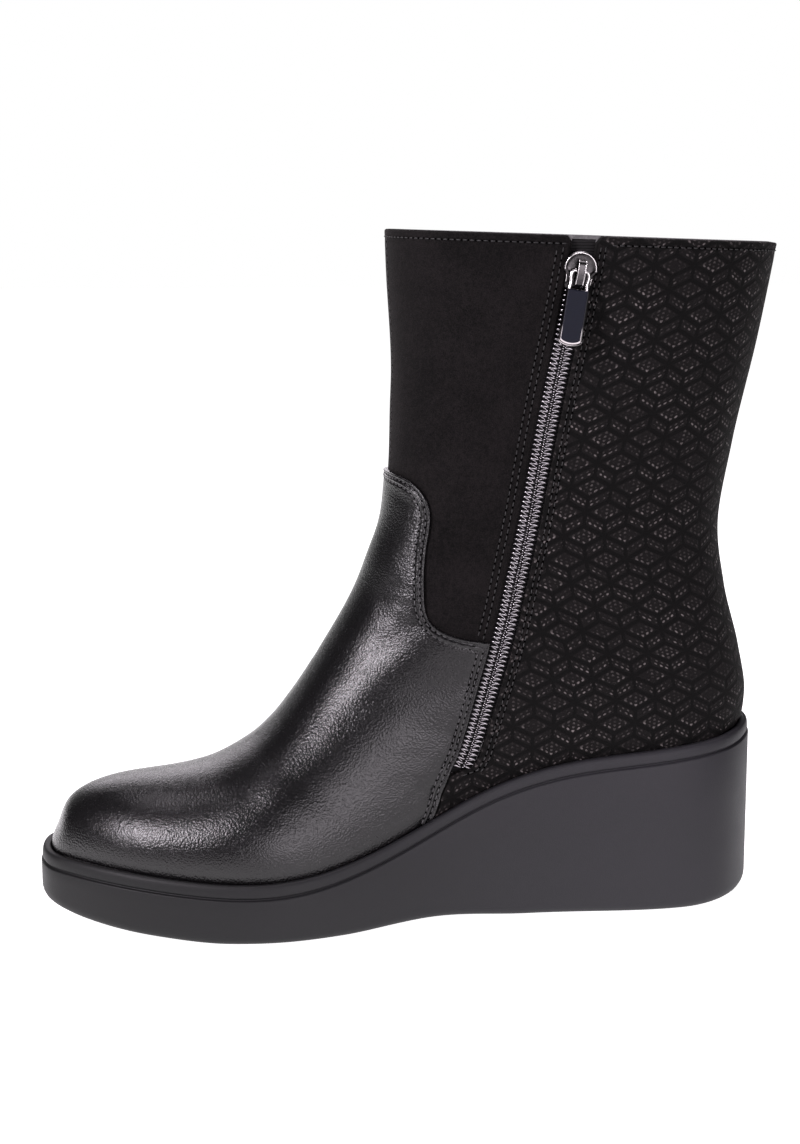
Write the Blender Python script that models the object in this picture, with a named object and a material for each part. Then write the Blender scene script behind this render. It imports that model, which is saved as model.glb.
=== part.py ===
"""Right ankle boot of black leather and suede on a moulded wedge sole.

The toe points to -X, the inner side with the zip faces -Y, and +Z is up.
The origin is on the ground, under the middle of the boot. Lengths are in metres.
"""
import math
from collections import namedtuple
from functools import lru_cache

import bpy
import numpy as np
from mathutils import Matrix, Vector
from mathutils.bvhtree import BVHTree

# Driving sizes of the boot
SOLE_LENGTH = 0.256
BALL_WIDTH = 0.094
HEEL_WIDTH = 0.068
FOREFOOT_RISE = 0.021
HEEL_RISE = 0.0635
TOE_SPRING = 0.0078
ARCH_RISE = 0.0017
TOE_HEIGHT = 0.0277
FRONT_HEIGHT = 0.2379
BACK_HEIGHT = 0.2332
ANKLE_WIDTH = 0.065
COLLAR_WIDTH = 0.085

# Walls, steps and clearances
WALL = 0.0018
OVERLAY = 0.0010
GAP = 0.0003
WELT = 0.0038
WELL_DEPTH = 0.0026
INSOLE_THICKNESS = 0.0030
RIM_HEIGHT = 0.0040
RIM_INSET = 0.0007
GROOVE_HEIGHT = 0.0009
GROOVE_DEPTH = 0.0013
TREAD_ROUNDING = 0.0040
RIM_ROUNDING = 0.0020
FEATHER_INSET = WELT + OVERLAY + GAP

# Zip
CHAIN_WIDTH = 0.0068
SLOT_MARGIN = 0.0008
CHAIN_PROUD = 0.0006
TAPE_MARGIN = 0.0060
TAPE_THICKNESS = 0.0006
TAPE_DROP = 0.0088
SLIDER_DROP = 0.0115
SLIDER_LENGTH = 0.0115
CROWN_WIDTH = 0.0112
MOUTH_WIDTH = 0.0086
CROWN_ARCH = 0.0036
MOUTH_CORNER = 0.0013
POST_LENGTH = 0.0034
PLATE_THICKNESS = 0.0012
BRIDGE_WIDTH = 0.0014
BRIDGE_THICKNESS = 0.0010
BRIDGE_SPAN = 0.0078
PIVOT_PLACE = 0.0004
PULL_WIRE = 0.0013
PULL_WIDTH = 0.0068
PULL_LENGTH = 0.0090
TAB_WIDTH = 0.0076
TAB_LENGTH = 0.0180
TAB_THICKNESS = 0.0024
PULL_HANG = math.radians(8)
SLOT_WIDTH = CHAIN_WIDTH + 2 * SLOT_MARGIN
TAPE_WIDTH = SLOT_WIDTH + 2 * TAPE_MARGIN

# How finely the curved faces are divided
FOOT_ROWS = 2
SHAFT_ROWS = 2
COLUMNS = 20
OUTLINE_POINTS = 1600

# Outline of the sole seen from above, each side as a share of half the named width
Edge = namedtuple("Edge", "along width inner outer")
OUTLINE = (
    Edge(0.012, BALL_WIDTH, 0.300, 0.265),
    Edge(0.040, BALL_WIDTH, 0.475, 0.420),
    Edge(0.100, BALL_WIDTH, 0.713, 0.640),
    Edge(0.200, BALL_WIDTH, 0.930, 0.855),
    Edge(0.320, BALL_WIDTH, 1.019, 0.985),
    Edge(0.450, BALL_WIDTH, 0.853, 0.985),
    Edge(0.580, HEEL_WIDTH, 0.959, 1.215),
    Edge(0.720, HEEL_WIDTH, 0.947, 1.060),
    Edge(0.860, HEEL_WIDTH, 1.000, 0.985),
    Edge(0.940, HEEL_WIDTH, 0.830, 0.810),
    Edge(0.985, HEEL_WIDTH, 0.420, 0.410),
)
TOE_SWING = 0.045

# The sole's round edges from above: inset and rise as shares of the edge's rounding
Arc = namedtuple("Arc", "inset rise")
TREAD_ARC = (Arc(1.00, 0.00), Arc(0.45, 0.12), Arc(0.14, 0.42), Arc(0.00, 1.00))
RIM_ARC = (Arc(0.00, 0.60), Arc(0.22, 0.12), Arc(0.63, 0.00))
GROOVE_LIP = 0.3

# Height of the sole's underside and of its rim along its length
Level = namedtuple("Level", "along toe_spring arch heel")
UNDERSIDE = (
    Level(0.00, 1.00, 0.0, 0.0),
    Level(0.06, 0.58, 0.0, 0.0),
    Level(0.15, 0.22, 0.0, 0.0),
    Level(0.25, 0.00, 0.0, 0.0),
    Level(0.40, 0.00, 0.0, 0.0),
    Level(0.53, 0.00, 1.0, 0.0),
    Level(0.66, 0.00, 0.0, 0.0),
    Level(0.88, 0.00, 0.0, 0.0),
    Level(0.95, 0.12, 0.0, 0.0),
    Level(1.00, 0.24, 0.0, 0.0),
)
RIM_LINE = (
    Level(0.00, 0.55, 0.0, 0.000),
    Level(0.10, 0.37, 0.0, 0.000),
    Level(0.25, 0.00, 0.0, 0.000),
    Level(0.38, 0.00, 0.0, 0.057),
    Level(0.50, 0.00, 0.0, 0.300),
    Level(0.60, 0.00, 0.0, 0.580),
    Level(0.70, 0.00, 0.0, 0.772),
    Level(0.85, 0.00, 0.0, 0.892),
    Level(1.00, 0.00, 0.0, 1.000),
)

# The last. Each section is a slice from a point under the foot, or on the back of
# the leg, to a point on the front of the boot:
# front: place of its front point along the last
# toe, shaft: height of that point in toe heights and shaft heights
# under: place of its lower point along the last
# back: height of the lower point up the back of the leg
# free: how far its width leaves the feather line for the leg's own width
# flare: width from the ankle's (0) to the collar's (1)
# crown, round: fullness of the front and of the lower end
# lean: sideways shift of the front point, in ball widths
Section = namedtuple("Section", "front toe shaft under back free flare crown round lean")
LAST = (
    Section(0.0000, 0.155, 0.0000, 0.0000, 0.000, 0.0, 0.80, 2.0, 3.0, 0.000),
    Section(0.0085, 0.379, 0.0000, 0.0085, 0.000, 0.0, 0.80, 2.0, 3.0, 0.000),
    Section(0.0228, 0.671, 0.0000, 0.0240, 0.000, 0.0, 0.80, 2.0, 3.0, 0.000),
    Section(0.0667, 0.906, 0.0000, 0.0687, 0.000, 0.0, 0.80, 2.1, 3.0, -0.010),
    Section(0.1294, 1.000, 0.0000, 0.1380, 0.000, 0.0, 0.80, 2.2, 3.0, -0.020),
    Section(0.2160, 1.000, 0.0190, 0.2315, 0.000, 0.0, 0.80, 2.1, 3.0, -0.040),
    Section(0.2966, 1.000, 0.0772, 0.3290, 0.000, 0.5, 0.95, 1.9, 3.0, -0.050),
    Section(0.3588, 1.000, 0.1680, 0.4510, 0.000, 1.0, 0.66, 2.1, 3.0, -0.045),
    Section(0.4251, 1.000, 0.3040, 0.6140, 0.000, 1.0, 0.15, 3.0, 4.0, -0.030),
    Section(0.4555, 1.000, 0.3980, 0.7600, 0.000, 1.0, 0.00, 4.2, 5.0, -0.020),
    Section(0.4725, 1.000, 0.4600, 0.8700, 0.000, 1.0, 0.00, 5.2, 6.0, -0.012),
    Section(0.4795, 1.000, 0.5080, 0.9550, 0.000, 1.0, 0.00, 6.2, 7.0, -0.004),
    Section(0.4816, 1.000, 0.5310, 0.9880, 0.000, 1.0, 0.00, 6.7, 7.6, 0.000),
    Section(0.4829, 1.000, 0.5510, 1.0000, 0.000, 1.0, 0.00, 7.0, 8.0, 0.000),
    Section(0.4845, 1.000, 0.5880, 1.0060, 0.062, 1.0, 0.00, 7.2, 8.0, 0.000),
    Section(0.4855, 1.000, 0.6360, 0.9940, 0.161, 1.0, 0.00, 7.2, 7.5, 0.000),
    Section(0.4865, 1.000, 0.6890, 0.9707, 0.290, 1.0, 0.00, 7.0, 7.0, 0.000),
    Section(0.4878, 1.000, 0.7470, 0.9590, 0.419, 1.0, 0.08, 6.5, 6.5, 0.000),
    Section(0.4858, 1.000, 0.8210, 0.9770, 0.595, 1.0, 0.32, 6.0, 6.2, 0.000),
    Section(0.4817, 1.000, 0.9054, 1.0085, 0.806, 1.0, 0.68, 5.4, 5.8, 0.000),
    Section(0.4788, 1.000, 1.0000, 1.0333, 1.000, 1.0, 1.00, 4.8, 5.2, 0.000),
)
HEEL_SECTION = 13
BULGE = 1.02

# Lines seen from the side, as shares of the sole's length and the front's height
Spot = namedtuple("Spot", "along up")
SEAM_LINE = (
    Spot(0.5120, 0.110),
    Spot(0.5300, 0.158),
    Spot(0.5687, 0.226),
    Spot(0.5900, 0.292),
    Spot(0.6246, 0.433),
    Spot(0.6564, 0.591),
    Spot(0.6821, 0.756),
    Spot(0.7055, 0.903),
    Spot(0.7255, 1.050),
)
ZIP_END = 0.222
VAMP_EDGE = (
    Spot(0.4300, 0.656),
    Spot(0.4860, 0.650),
    Spot(0.5120, 0.638),
    Spot(0.5290, 0.608),
    Spot(0.5250, 0.554),
    Spot(0.5200, 0.482),
    Spot(0.5260, 0.445),
    Spot(0.5570, 0.424),
    Spot(0.6150, 0.414),
)


def spline(knots, values, at, closed=False):
    """Smooth curve through the values, which a closed curve repeats at its end."""
    knots = np.asarray(knots, float)
    values = np.asarray(values, float)
    at = np.asarray(at, float)
    count = len(knots)
    gaps = np.diff(knots)
    slopes = np.diff(values, axis=0) / gaps.reshape(-1, *[1] * (values.ndim - 1))
    system = np.eye(count)
    bends = np.zeros_like(values)
    for i in range(1, count - 1):
        system[i, i - 1:i + 2] = gaps[i - 1], 2 * (gaps[i - 1] + gaps[i]), gaps[i]
        bends[i] = 6 * (slopes[i] - slopes[i - 1])
    if closed:
        system[0, 0] = 2 * (gaps[0] + gaps[-1])
        system[0, 1] = gaps[0]
        system[0, -2] = gaps[-1]
        bends[0] = 6 * (slopes[0] - slopes[-1])
        system[-1, 0] = -1
    bends = np.linalg.solve(system, bends)
    cell = np.clip(np.searchsorted(knots, at, side="right") - 1, 0, count - 2)
    shape = (-1,) + (1,) * (values.ndim - 1)
    gap = gaps[cell].reshape(shape)
    after = (at - knots[cell]).reshape(shape)
    before = gap - after
    return (bends[cell] * before ** 3 / (6 * gap)
            + bends[cell + 1] * after ** 3 / (6 * gap)
            + (values[cell] / gap - bends[cell] * gap / 6) * before
            + (values[cell + 1] / gap - bends[cell + 1] * gap / 6) * after)


def steady(knots, values, at):
    """Smooth curve through the values that never swings past them."""
    knots = np.asarray(knots, float)
    values = np.asarray(values, float)
    gaps = np.diff(knots)
    rises = np.diff(values) / gaps
    slopes = np.concatenate([rises[:1], np.zeros(len(rises) - 1), rises[-1:]])
    for i in range(1, len(rises)):
        if rises[i - 1] * rises[i] > 0:
            slopes[i] = 2 * rises[i - 1] * rises[i] / (rises[i - 1] + rises[i])
    cell = np.clip(np.searchsorted(knots, at, side="right") - 1, 0, len(gaps) - 1)
    share = (at - knots[cell]) / gaps[cell]
    return (values[cell] * (1 + 2 * share) * (1 - share) ** 2
            + values[cell + 1] * share ** 2 * (3 - 2 * share)
            + gaps[cell] * share * (1 - share) * (slopes[cell] * (1 - share)
                                                  - slopes[cell + 1] * share))


@lru_cache(maxsize=None)
def sole_outline():
    """Points round the sole from above, from the toe tip along the inner side."""
    def middle(along):
        return -TOE_SWING * BALL_WIDTH * (1 - along)

    toe_tip = [(0.0, middle(0.0))]
    heel_tip = [(SOLE_LENGTH, middle(1.0))]
    inner = [(e.along * SOLE_LENGTH, middle(e.along) - e.inner * e.width / 2) for e in OUTLINE]
    outer = [(e.along * SOLE_LENGTH, middle(e.along) + e.outer * e.width / 2) for e in OUTLINE]
    points = np.array(toe_tip + inner + heel_tip + outer[::-1] + toe_tip)
    knots = np.concatenate([[0.0], np.cumsum(np.linalg.norm(np.diff(points, axis=0), axis=1))])
    return spline(knots, points, np.linspace(0.0, knots[-1], OUTLINE_POINTS), closed=True)


@lru_cache(maxsize=None)
def sides(inset):
    """The outline moved inward, as its inner and outer side from toe tip to heel tip."""
    points = sole_outline()[:-1]
    along = np.roll(points, -1, axis=0) - np.roll(points, 1, axis=0)
    along /= np.linalg.norm(along, axis=1, keepdims=True)
    outward = np.stack([along[:, 1], -along[:, 0]], axis=1)
    points = points - inset * outward
    points = np.roll(points, -int(np.argmin(points[:, 0])), axis=0)
    heel = int(np.argmax(points[:, 0]))
    inner = points[:heel + 1]
    outer = np.vstack([points[heel:], points[:1]])[::-1]
    return inner, outer


def width_at(inset, x):
    """Sideways places of the inner and outer side of the inset outline at x."""
    inner, outer = sides(inset)
    return np.interp(x, inner[:, 0], inner[:, 1]), np.interp(x, outer[:, 0], outer[:, 1])


def ends(inset):
    """Toe and heel tips of the inset outline."""
    inner, _ = sides(inset)
    return inner[0, 0], inner[-1, 0]


def underside(x):
    """Height of the sole's underside."""
    heights = [r.toe_spring * TOE_SPRING + r.arch * ARCH_RISE for r in UNDERSIDE]
    return steady([r.along for r in UNDERSIDE], heights, np.clip(x / SOLE_LENGTH, 0, 1))


def rim_top(x):
    """Height of the sole's rim, which the upper's feather line follows."""
    heights = [FOREFOOT_RISE + r.toe_spring * TOE_SPRING + r.heel * (HEEL_RISE - FOREFOOT_RISE)
               for r in RIM_LINE]
    return spline([r.along for r in RIM_LINE], heights, np.clip(x / SOLE_LENGTH, 0, 1))


def under_share(places):
    """Place along the last of the lower points of its slices."""
    roots = np.sqrt([s.under for s in LAST])
    return steady(np.arange(len(LAST)), roots, places) ** 2


def foot_places():
    """The slices from the toe tip to the heel, which the sole and insole share."""
    return np.linspace(0, HEEL_SECTION, HEEL_SECTION * FOOT_ROWS + 1)


def last_sections(offset):
    """Slices of the last, grown outward by the offset, from the toe tip to the collar.

    Returns the points as [section, point round it, xyz] and the number of the heel's section.
    """
    table = {name: np.array([getattr(s, name) for s in LAST]) for name in Section._fields}
    knots = np.arange(len(LAST))
    shaft_sections = len(LAST) - 1 - HEEL_SECTION
    leg_places = np.linspace(HEEL_SECTION, len(LAST) - 1, shaft_sections * SHAFT_ROWS + 1)
    at = np.concatenate([foot_places(), leg_places[1:]])
    heel = HEEL_SECTION * FOOT_ROWS
    toe_x, heel_x = ends(FEATHER_INSET)
    shaft_rise = FRONT_HEIGHT - FOREFOOT_RISE - TOE_HEIGHT

    def front_line(places):
        x = toe_x + spline(knots, np.sqrt(table["front"]), places) ** 2 * (heel_x - toe_x)
        z = (FOREFOOT_RISE + spline(knots, table["toe"], places) * TOE_HEIGHT
             + spline(knots, table["shaft"], places) * shaft_rise)
        return np.stack([x, z], axis=1)

    step = 0.01
    run = (front_line(np.minimum(at + step, at[-1])) - front_line(np.maximum(at - step, 0)))
    run /= np.linalg.norm(run, axis=1, keepdims=True)
    front = front_line(at) + offset * np.stack([-run[:, 1], run[:, 0]], axis=1)

    inset = FEATHER_INSET - offset
    toe_x, heel_x = ends(inset)
    under_x = toe_x + under_share(at) * (heel_x - toe_x)
    feather_x = under_x[:heel + 1]
    under_z = rim_top(under_x)
    under_z[heel:] = rim_top(under_x[heel])
    under_z += steady(knots, table["back"], at) * (BACK_HEIGHT - under_z[heel])
    front[0] = under_x[0], under_z[0]

    inner, outer = width_at(inset, feather_x)
    middle = np.full(len(at), inner[-1])
    middle[:heel + 1] = (inner + outer) / 2
    feather = np.zeros(len(at))
    feather[:heel + 1] = (outer - inner) / 2
    feather[[0, heel]] = 0.0
    free = spline(knots, table["free"], at)
    leg = ANKLE_WIDTH / 2 + spline(knots, table["flare"], at) * (COLLAR_WIDTH - ANKLE_WIDTH) / 2
    width = np.maximum((1 - free) * BULGE * feather + free * (leg + offset), feather)
    crown = spline(knots, table["crown"], at)
    fullness = spline(knots, table["round"], at)
    lean = spline(knots, table["lean"], at) * BALL_WIDTH

    turn = np.linspace(-1, 1, COLUMNS + 1)
    rise = (1 + np.cos(math.pi * turn)) / 2
    rise[[0, -1]] = 0.0
    points = np.zeros((len(at), len(turn), 3))
    for i in range(len(at)):
        growth = 1 - (1 - rise) ** fullness[i]
        half = np.sqrt((feather[i] ** 2 + (width[i] ** 2 - feather[i] ** 2) * growth)
                       * (1 - rise ** crown[i]))
        points[i, :, 0] = under_x[i] + rise * (front[i, 0] - under_x[i])
        points[i, :, 1] = middle[i] + rise * lean[i] + np.sign(turn) * half
        points[i, :, 2] = under_z[i] + rise * (front[i, 1] - under_z[i])
    return points, heel


class Skin:
    """Corners and faces of a mesh, where equal corners are one."""

    def __init__(self):
        self.corners = []
        self.faces = []
        self.seen = {}

    def corner(self, point):
        key = tuple(int(round(v * 1e7)) for v in point)
        if key not in self.seen:
            self.seen[key] = len(self.corners)
            self.corners.append(tuple(float(v) for v in point))
        return self.seen[key]

    def face(self, *points):
        ring = []
        for point in points:
            index = self.corner(point)
            if index not in ring:
                ring.append(index)
        if len(ring) > 2:
            self.faces.append(ring)

    def quad(self, a, b, c, d, flip=False, other=False):
        """Two triangles, turned over by flip, with the other diagonal where other is set."""
        parts = ((a, b, d), (b, c, d)) if other else ((a, b, c), (a, c, d))
        for part in parts:
            self.face(*(part[::-1] if flip else part))

    def build(self, name, material, smooth_angle=40):
        mesh = bpy.data.meshes.new(name)
        mesh.from_pydata(self.corners, [], self.faces)
        mesh.validate()
        mesh.shade_smooth()
        mesh.set_sharp_from_angle(angle=math.radians(smooth_angle))
        mesh.materials.append(material)
        item = bpy.data.objects.new(name, mesh)
        bpy.context.collection.objects.link(item)
        return item


def finish(name, colour, roughness, metallic=0.0):
    """A plain material of its own for a piece."""
    material = bpy.data.materials.new(name)
    material.use_nodes = True
    shader = material.node_tree.nodes["Principled BSDF"]
    shader.inputs["Base Color"].default_value = (*colour, 1.0)
    shader.inputs["Roughness"].default_value = roughness
    shader.inputs["Metallic"].default_value = metallic
    return material


def skirted(offset, drop):
    """The grown last with a straight skirt under its feather line, down to the well's floor."""
    points, heel = last_sections(offset)
    foot = points[:, [0, -1]].copy()
    foot[:heel + 1, :, 2] -= drop
    return np.concatenate([foot[:, :1], points, foot[:, 1:]], axis=1), heel


def add_wall(skin, grid, heel, flip=False):
    """The faces of a skirted last, without its bottom and its collar."""
    columns = grid.shape[1]
    for i in range(len(grid) - 1):
        first = 0 if i < heel else 1
        for j in range(first, columns - 1 - first):
            skin.quad(grid[i, j], grid[i + 1, j], grid[i + 1, j + 1], grid[i, j + 1],
                      flip=flip, other=j >= columns // 2)


def add_edge(skin, outside, inside):
    """A strip of faces between two rows of points."""
    for i in range(len(outside) - 1):
        skin.quad(outside[i], outside[i + 1], inside[i + 1], inside[i])


def hollow_upper():
    """The upper's wall, open at the collar and underneath."""
    drop = WELL_DEPTH - GAP
    outside, heel = skirted(0.0, drop)
    inside, _ = skirted(-WALL, drop)
    skin = Skin()
    add_wall(skin, outside, heel)
    add_wall(skin, inside, heel, flip=True)
    add_edge(skin, inside[:heel + 1, 0], outside[:heel + 1, 0])
    add_edge(skin, outside[:heel + 1, -1], inside[:heel + 1, -1])
    add_edge(skin, inside[-1, 1:-1], outside[-1, 1:-1])
    return skin


def wedge_sole():
    """The moulded sole: underside, side with groove and rim, and the well on top."""
    share = under_share(foot_places())

    def ring(inset, height):
        toe, heel = ends(inset)
        x = toe + share * (heel - toe)
        inner, outer = width_at(inset, x)
        outer[[0, -1]] = inner[[0, -1]]
        z = height(x)
        return np.stack([x, inner, z], axis=1), np.stack([x, outer, z], axis=1)

    def under(rise):
        return lambda x: underside(x) + rise

    def rim(fall):
        return lambda x: rim_top(x) - fall

    groove = RIM_HEIGHT + GROOVE_HEIGHT
    rings = [ring(a.inset * TREAD_ROUNDING, under(a.rise * TREAD_ROUNDING)) for a in TREAD_ARC]
    rings += [
        ring(0.0, rim(groove + GROOVE_DEPTH * GROOVE_LIP)),
        ring(GROOVE_DEPTH, rim(groove)),
        ring(GROOVE_DEPTH, rim(RIM_HEIGHT + GROOVE_HEIGHT * GROOVE_LIP)),
        ring(RIM_INSET, rim(RIM_HEIGHT)),
    ]
    rings += [ring(RIM_INSET + a.inset * RIM_ROUNDING, rim(a.rise * RIM_ROUNDING)) for a in RIM_ARC]
    rings += [ring(WELT - GAP, rim(GAP)), ring(WELT - GAP, rim(WELL_DEPTH))]
    skin = Skin()
    for (inner_a, outer_a), (inner_b, outer_b) in zip(rings, rings[1:]):
        for i in range(len(share) - 1):
            skin.quad(inner_a[i], inner_a[i + 1], inner_b[i + 1], inner_b[i])
            skin.quad(outer_a[i], outer_a[i + 1], outer_b[i + 1], outer_b[i], flip=True)
    for (inner, outer), flip in ((rings[0], True), (rings[-1], False)):
        for i in range(len(share) - 1):
            skin.quad(inner[i], inner[i + 1], outer[i + 1], outer[i], flip=flip)
    return skin


def insole_board():
    """The footbed board on the floor of the well, inside the upper."""
    share = under_share(foot_places())
    inset = FEATHER_INSET + WALL + GAP
    toe, heel = ends(inset)
    x = toe + share * (heel - toe)
    inner, outer = width_at(inset, x)
    outer[[0, -1]] = inner[[0, -1]]
    low = rim_top(x) - WELL_DEPTH + GAP
    high = low + INSOLE_THICKNESS
    inner_low, inner_high = (np.stack([x, inner, z], axis=1) for z in (low, high))
    outer_low, outer_high = (np.stack([x, outer, z], axis=1) for z in (low, high))
    skin = Skin()
    for i in range(len(share) - 1):
        skin.quad(inner_low[i], inner_low[i + 1], inner_high[i + 1], inner_high[i])
        skin.quad(outer_low[i], outer_low[i + 1], outer_high[i + 1], outer_high[i], flip=True)
        skin.quad(inner_low[i], inner_low[i + 1], outer_low[i + 1], outer_low[i], flip=True)
        skin.quad(inner_high[i], inner_high[i + 1], outer_high[i + 1], outer_high[i])
    return skin


def closed_last(offset, spare=0.0):
    """The grown last as a solid, longer by the spare length at the floor and the collar."""
    grid, heel = skirted(offset, WELL_DEPTH - GAP + spare)
    top = grid[-1:] + np.array([0.0, 0.0, spare])
    grid = np.concatenate([grid, top], axis=0) if spare else grid
    skin = Skin()
    add_wall(skin, grid, heel)
    for i in range(heel):
        skin.quad(grid[i, 0], grid[i + 1, 0], grid[i + 1, -1], grid[i, -1], flip=True)
    skin.face(*grid[-1, 1:-2][::-1])
    return skin


def collar_height(x):
    """Height of the collar at a place along the boot."""
    points, _ = last_sections(0.0)
    front = points[-1, COLUMNS // 2]
    back = points[-1, 0]
    return np.interp(x, [front[0], back[0]], [front[2], back[2]])


def side_curve(spots, low=None, high=None, count=24):
    """Points along a line of the side view, between two heights where they are given."""
    spots = np.array([(s.along * SOLE_LENGTH, s.up * FRONT_HEIGHT) for s in spots])
    knots = np.concatenate([[0.0], np.cumsum(np.linalg.norm(np.diff(spots, axis=0), axis=1))])
    curve = spline(knots, spots, np.linspace(0.0, knots[-1], 400))
    if low is not None:
        curve = curve[(curve[:, 1] >= low) & (curve[:, 1] <= high)]
    return curve[np.linspace(0, len(curve) - 1, count).astype(int)]


def ribbon(line, half_width):
    """A strip's outline along a line."""
    run = np.gradient(line, axis=0)
    run /= np.linalg.norm(run, axis=1, keepdims=True)
    across = np.stack([-run[:, 1], run[:, 0]], axis=1) * half_width
    return np.vstack([line + across, (line - across)[::-1]])


def prism(outline, near, far):
    """A solid with the outline in the side view, between two sideways places."""
    outline = np.asarray(outline, float)
    area = np.sum(outline[:, 0] * np.roll(outline[:, 1], -1)
                  - outline[:, 1] * np.roll(outline[:, 0], -1))
    if area < 0:
        outline = outline[::-1]
    skin = Skin()
    front = [(x, near, z) for x, z in outline]
    back = [(x, far, z) for x, z in outline]
    skin.face(*front)
    skin.face(*back[::-1])
    for i in range(len(outline)):
        j = (i + 1) % len(outline)
        skin.face(front[i], back[i], back[j], front[j])
    return skin


def cutter(skin, name):
    """A guide solid that only cuts other pieces."""
    item = skin.build(name, guide_finish)
    item.hide_render = True
    item.display_type = "WIRE"
    return item


def cut(item, other, operation):
    """Join, cut or trim a piece by another solid."""
    step = item.modifiers.new(operation.lower(), "BOOLEAN")
    step.operation = operation
    step.object = other


def box_profile(width, length, corner, count=4):
    """A rectangle with round corners, centred, counterclockwise."""
    points = []
    for quarter, (sx, sy) in enumerate(((1, 1), (-1, 1), (-1, -1), (1, -1))):
        for i in range(count + 1):
            turn = math.radians(90 * (quarter + i / count))
            points.append((sx * (width / 2 - corner) + corner * math.cos(turn),
                           sy * (length / 2 - corner) + corner * math.sin(turn)))
    return points


def extrusion(profile, low, high, axes="xyz"):
    """A profile pulled along the third of the axes, from low to high."""
    order = ["xyz".index(a) for a in axes]

    def place(u, v, w):
        point = [0.0, 0.0, 0.0]
        point[order[0]], point[order[1]], point[order[2]] = u, v, w
        return point

    skin = Skin()
    skin.face(*[place(u, v, low) for u, v in profile][::-1])
    skin.face(*[place(u, v, high) for u, v in profile])
    for i in range(len(profile)):
        (u, v), (p, q) = profile[i], profile[(i + 1) % len(profile)]
        skin.face(place(u, v, low), place(p, q, low), place(p, q, high), place(u, v, high))
    return skin


for item in list(bpy.data.objects):
    bpy.data.objects.remove(item)

guide_finish = finish("guide", (0.8, 0.3, 0.1), 0.5)
FAR = 2 * SOLE_LENGTH

# The sole unit, the board on it and the upper that stands in its well
outsole = wedge_sole().build("outsole", finish("moulded_sole", (0.03, 0.031, 0.034), 0.5))
insole = insole_board().build("insole", finish("insole_lining", (0.05, 0.045, 0.04), 0.8))
upper = hollow_upper().build("upper", finish("shaft_suede", (0.012, 0.012, 0.012), 0.9))

# The overlays lie on the upper from the well's floor up
seam = side_curve(SEAM_LINE)
vamp_edge = side_curve(VAMP_EDGE, count=40)
vamp_edge = vamp_edge[vamp_edge[:, 0] < np.interp(vamp_edge[:, 1], seam[:, 1], seam[:, 0])]
vamp_seam = seam[seam[:, 1] < vamp_edge[-1, 1]][::-1] - [GAP / 2, 0.0]
vamp_outline = [(-FAR, -FAR), (-FAR, vamp_edge[0, 1])]
vamp_outline += [tuple(p) for p in vamp_edge] + [tuple(p) for p in vamp_seam]
vamp_outline += [(vamp_seam[-1, 0], -FAR)]
back_seam = seam + [GAP / 2, 0.0]
back_outline = [(back_seam[0, 0], -FAR)] + [tuple(p) for p in back_seam]
back_outline += [(back_seam[-1, 0], FAR), (FAR, FAR), (FAR, -FAR)]

base_cutter = cutter(closed_last(GAP, spare=WELL_DEPTH), "cut_base")
vamp_cutter = cutter(prism(vamp_outline, -FAR, FAR), "cut_vamp")
back_cutter = cutter(prism(back_outline, -FAR, FAR), "cut_back")
zip_low = ZIP_END * FRONT_HEIGHT
zip_line = side_curve(SEAM_LINE, zip_low, FAR)
slot_cutter = cutter(prism(ribbon(zip_line, SLOT_WIDTH / 2), -FAR, 0.0), "cut_slot")

vamp = closed_last(GAP + OVERLAY).build("vamp", finish("vamp_leather", (0.02, 0.02, 0.021), 0.35))
cut(vamp, vamp_cutter, "INTERSECT")
cut(vamp, base_cutter, "DIFFERENCE")
cut(vamp, slot_cutter, "DIFFERENCE")
back_panel = closed_last(GAP + OVERLAY).build(
    "back_panel", finish("embossed_suede", (0.015, 0.014, 0.014), 0.85))
cut(back_panel, back_cutter, "INTERSECT")
cut(back_panel, base_cutter, "DIFFERENCE")
cut(back_panel, slot_cutter, "DIFFERENCE")
cut(upper, slot_cutter, "DIFFERENCE")

# The zip's tape lies inside the upper, and its chain in the slot
collar_at_zip = collar_height(seam[-1, 0])
slider_height = collar_at_zip - SLIDER_DROP
tape_high = collar_at_zip - TAPE_DROP
tape_line = side_curve(SEAM_LINE, zip_low - SLOT_MARGIN, tape_high)
tape_cutter = cutter(prism(ribbon(tape_line, TAPE_WIDTH / 2), -FAR, 0.0), "cut_tape")
tape_back = cutter(closed_last(-WALL - GAP - TAPE_THICKNESS, spare=WELL_DEPTH), "cut_tape_back")
zip_tape = closed_last(-WALL - GAP).build("zip_tape", finish("zip_cloth", (0.01, 0.01, 0.01), 0.9))
cut(zip_tape, tape_cutter, "INTERSECT")
cut(zip_tape, tape_back, "DIFFERENCE")

chain_line = side_curve(SEAM_LINE, zip_low + SLOT_MARGIN, slider_height)
chain_cutter = cutter(prism(ribbon(chain_line, CHAIN_WIDTH / 2), -FAR, 0.0), "cut_chain")
chain_back = cutter(closed_last(-WALL, spare=WELL_DEPTH), "cut_chain_back")
zip_chain = closed_last(CHAIN_PROUD).build("zip_chain", finish("zip_coil", (0.02, 0.02, 0.022), 0.3))
cut(zip_chain, chain_cutter, "INTERSECT")
cut(zip_chain, chain_back, "DIFFERENCE")


def side_frame(skin, height):
    """Place of the zip's line on the inner side: across to the heel, up the zip, and outward."""
    tree = BVHTree.FromPolygons(skin.corners, skin.faces)

    def touch(z):
        x = np.interp(z, seam[:, 1], seam[:, 0])
        return tree.ray_cast(Vector((x, -FAR, z)), Vector((0.0, 1.0, 0.0)))

    point, outward, _, _ = touch(height)
    reach = SLIDER_LENGTH / 2
    up = (touch(height + reach)[0] - touch(height - reach)[0]).normalized()
    across = up.cross(outward).normalized()
    outward = across.cross(up).normalized()
    return Matrix.Translation(point) @ Matrix((across, up, outward)).transposed().to_4x4()


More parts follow.
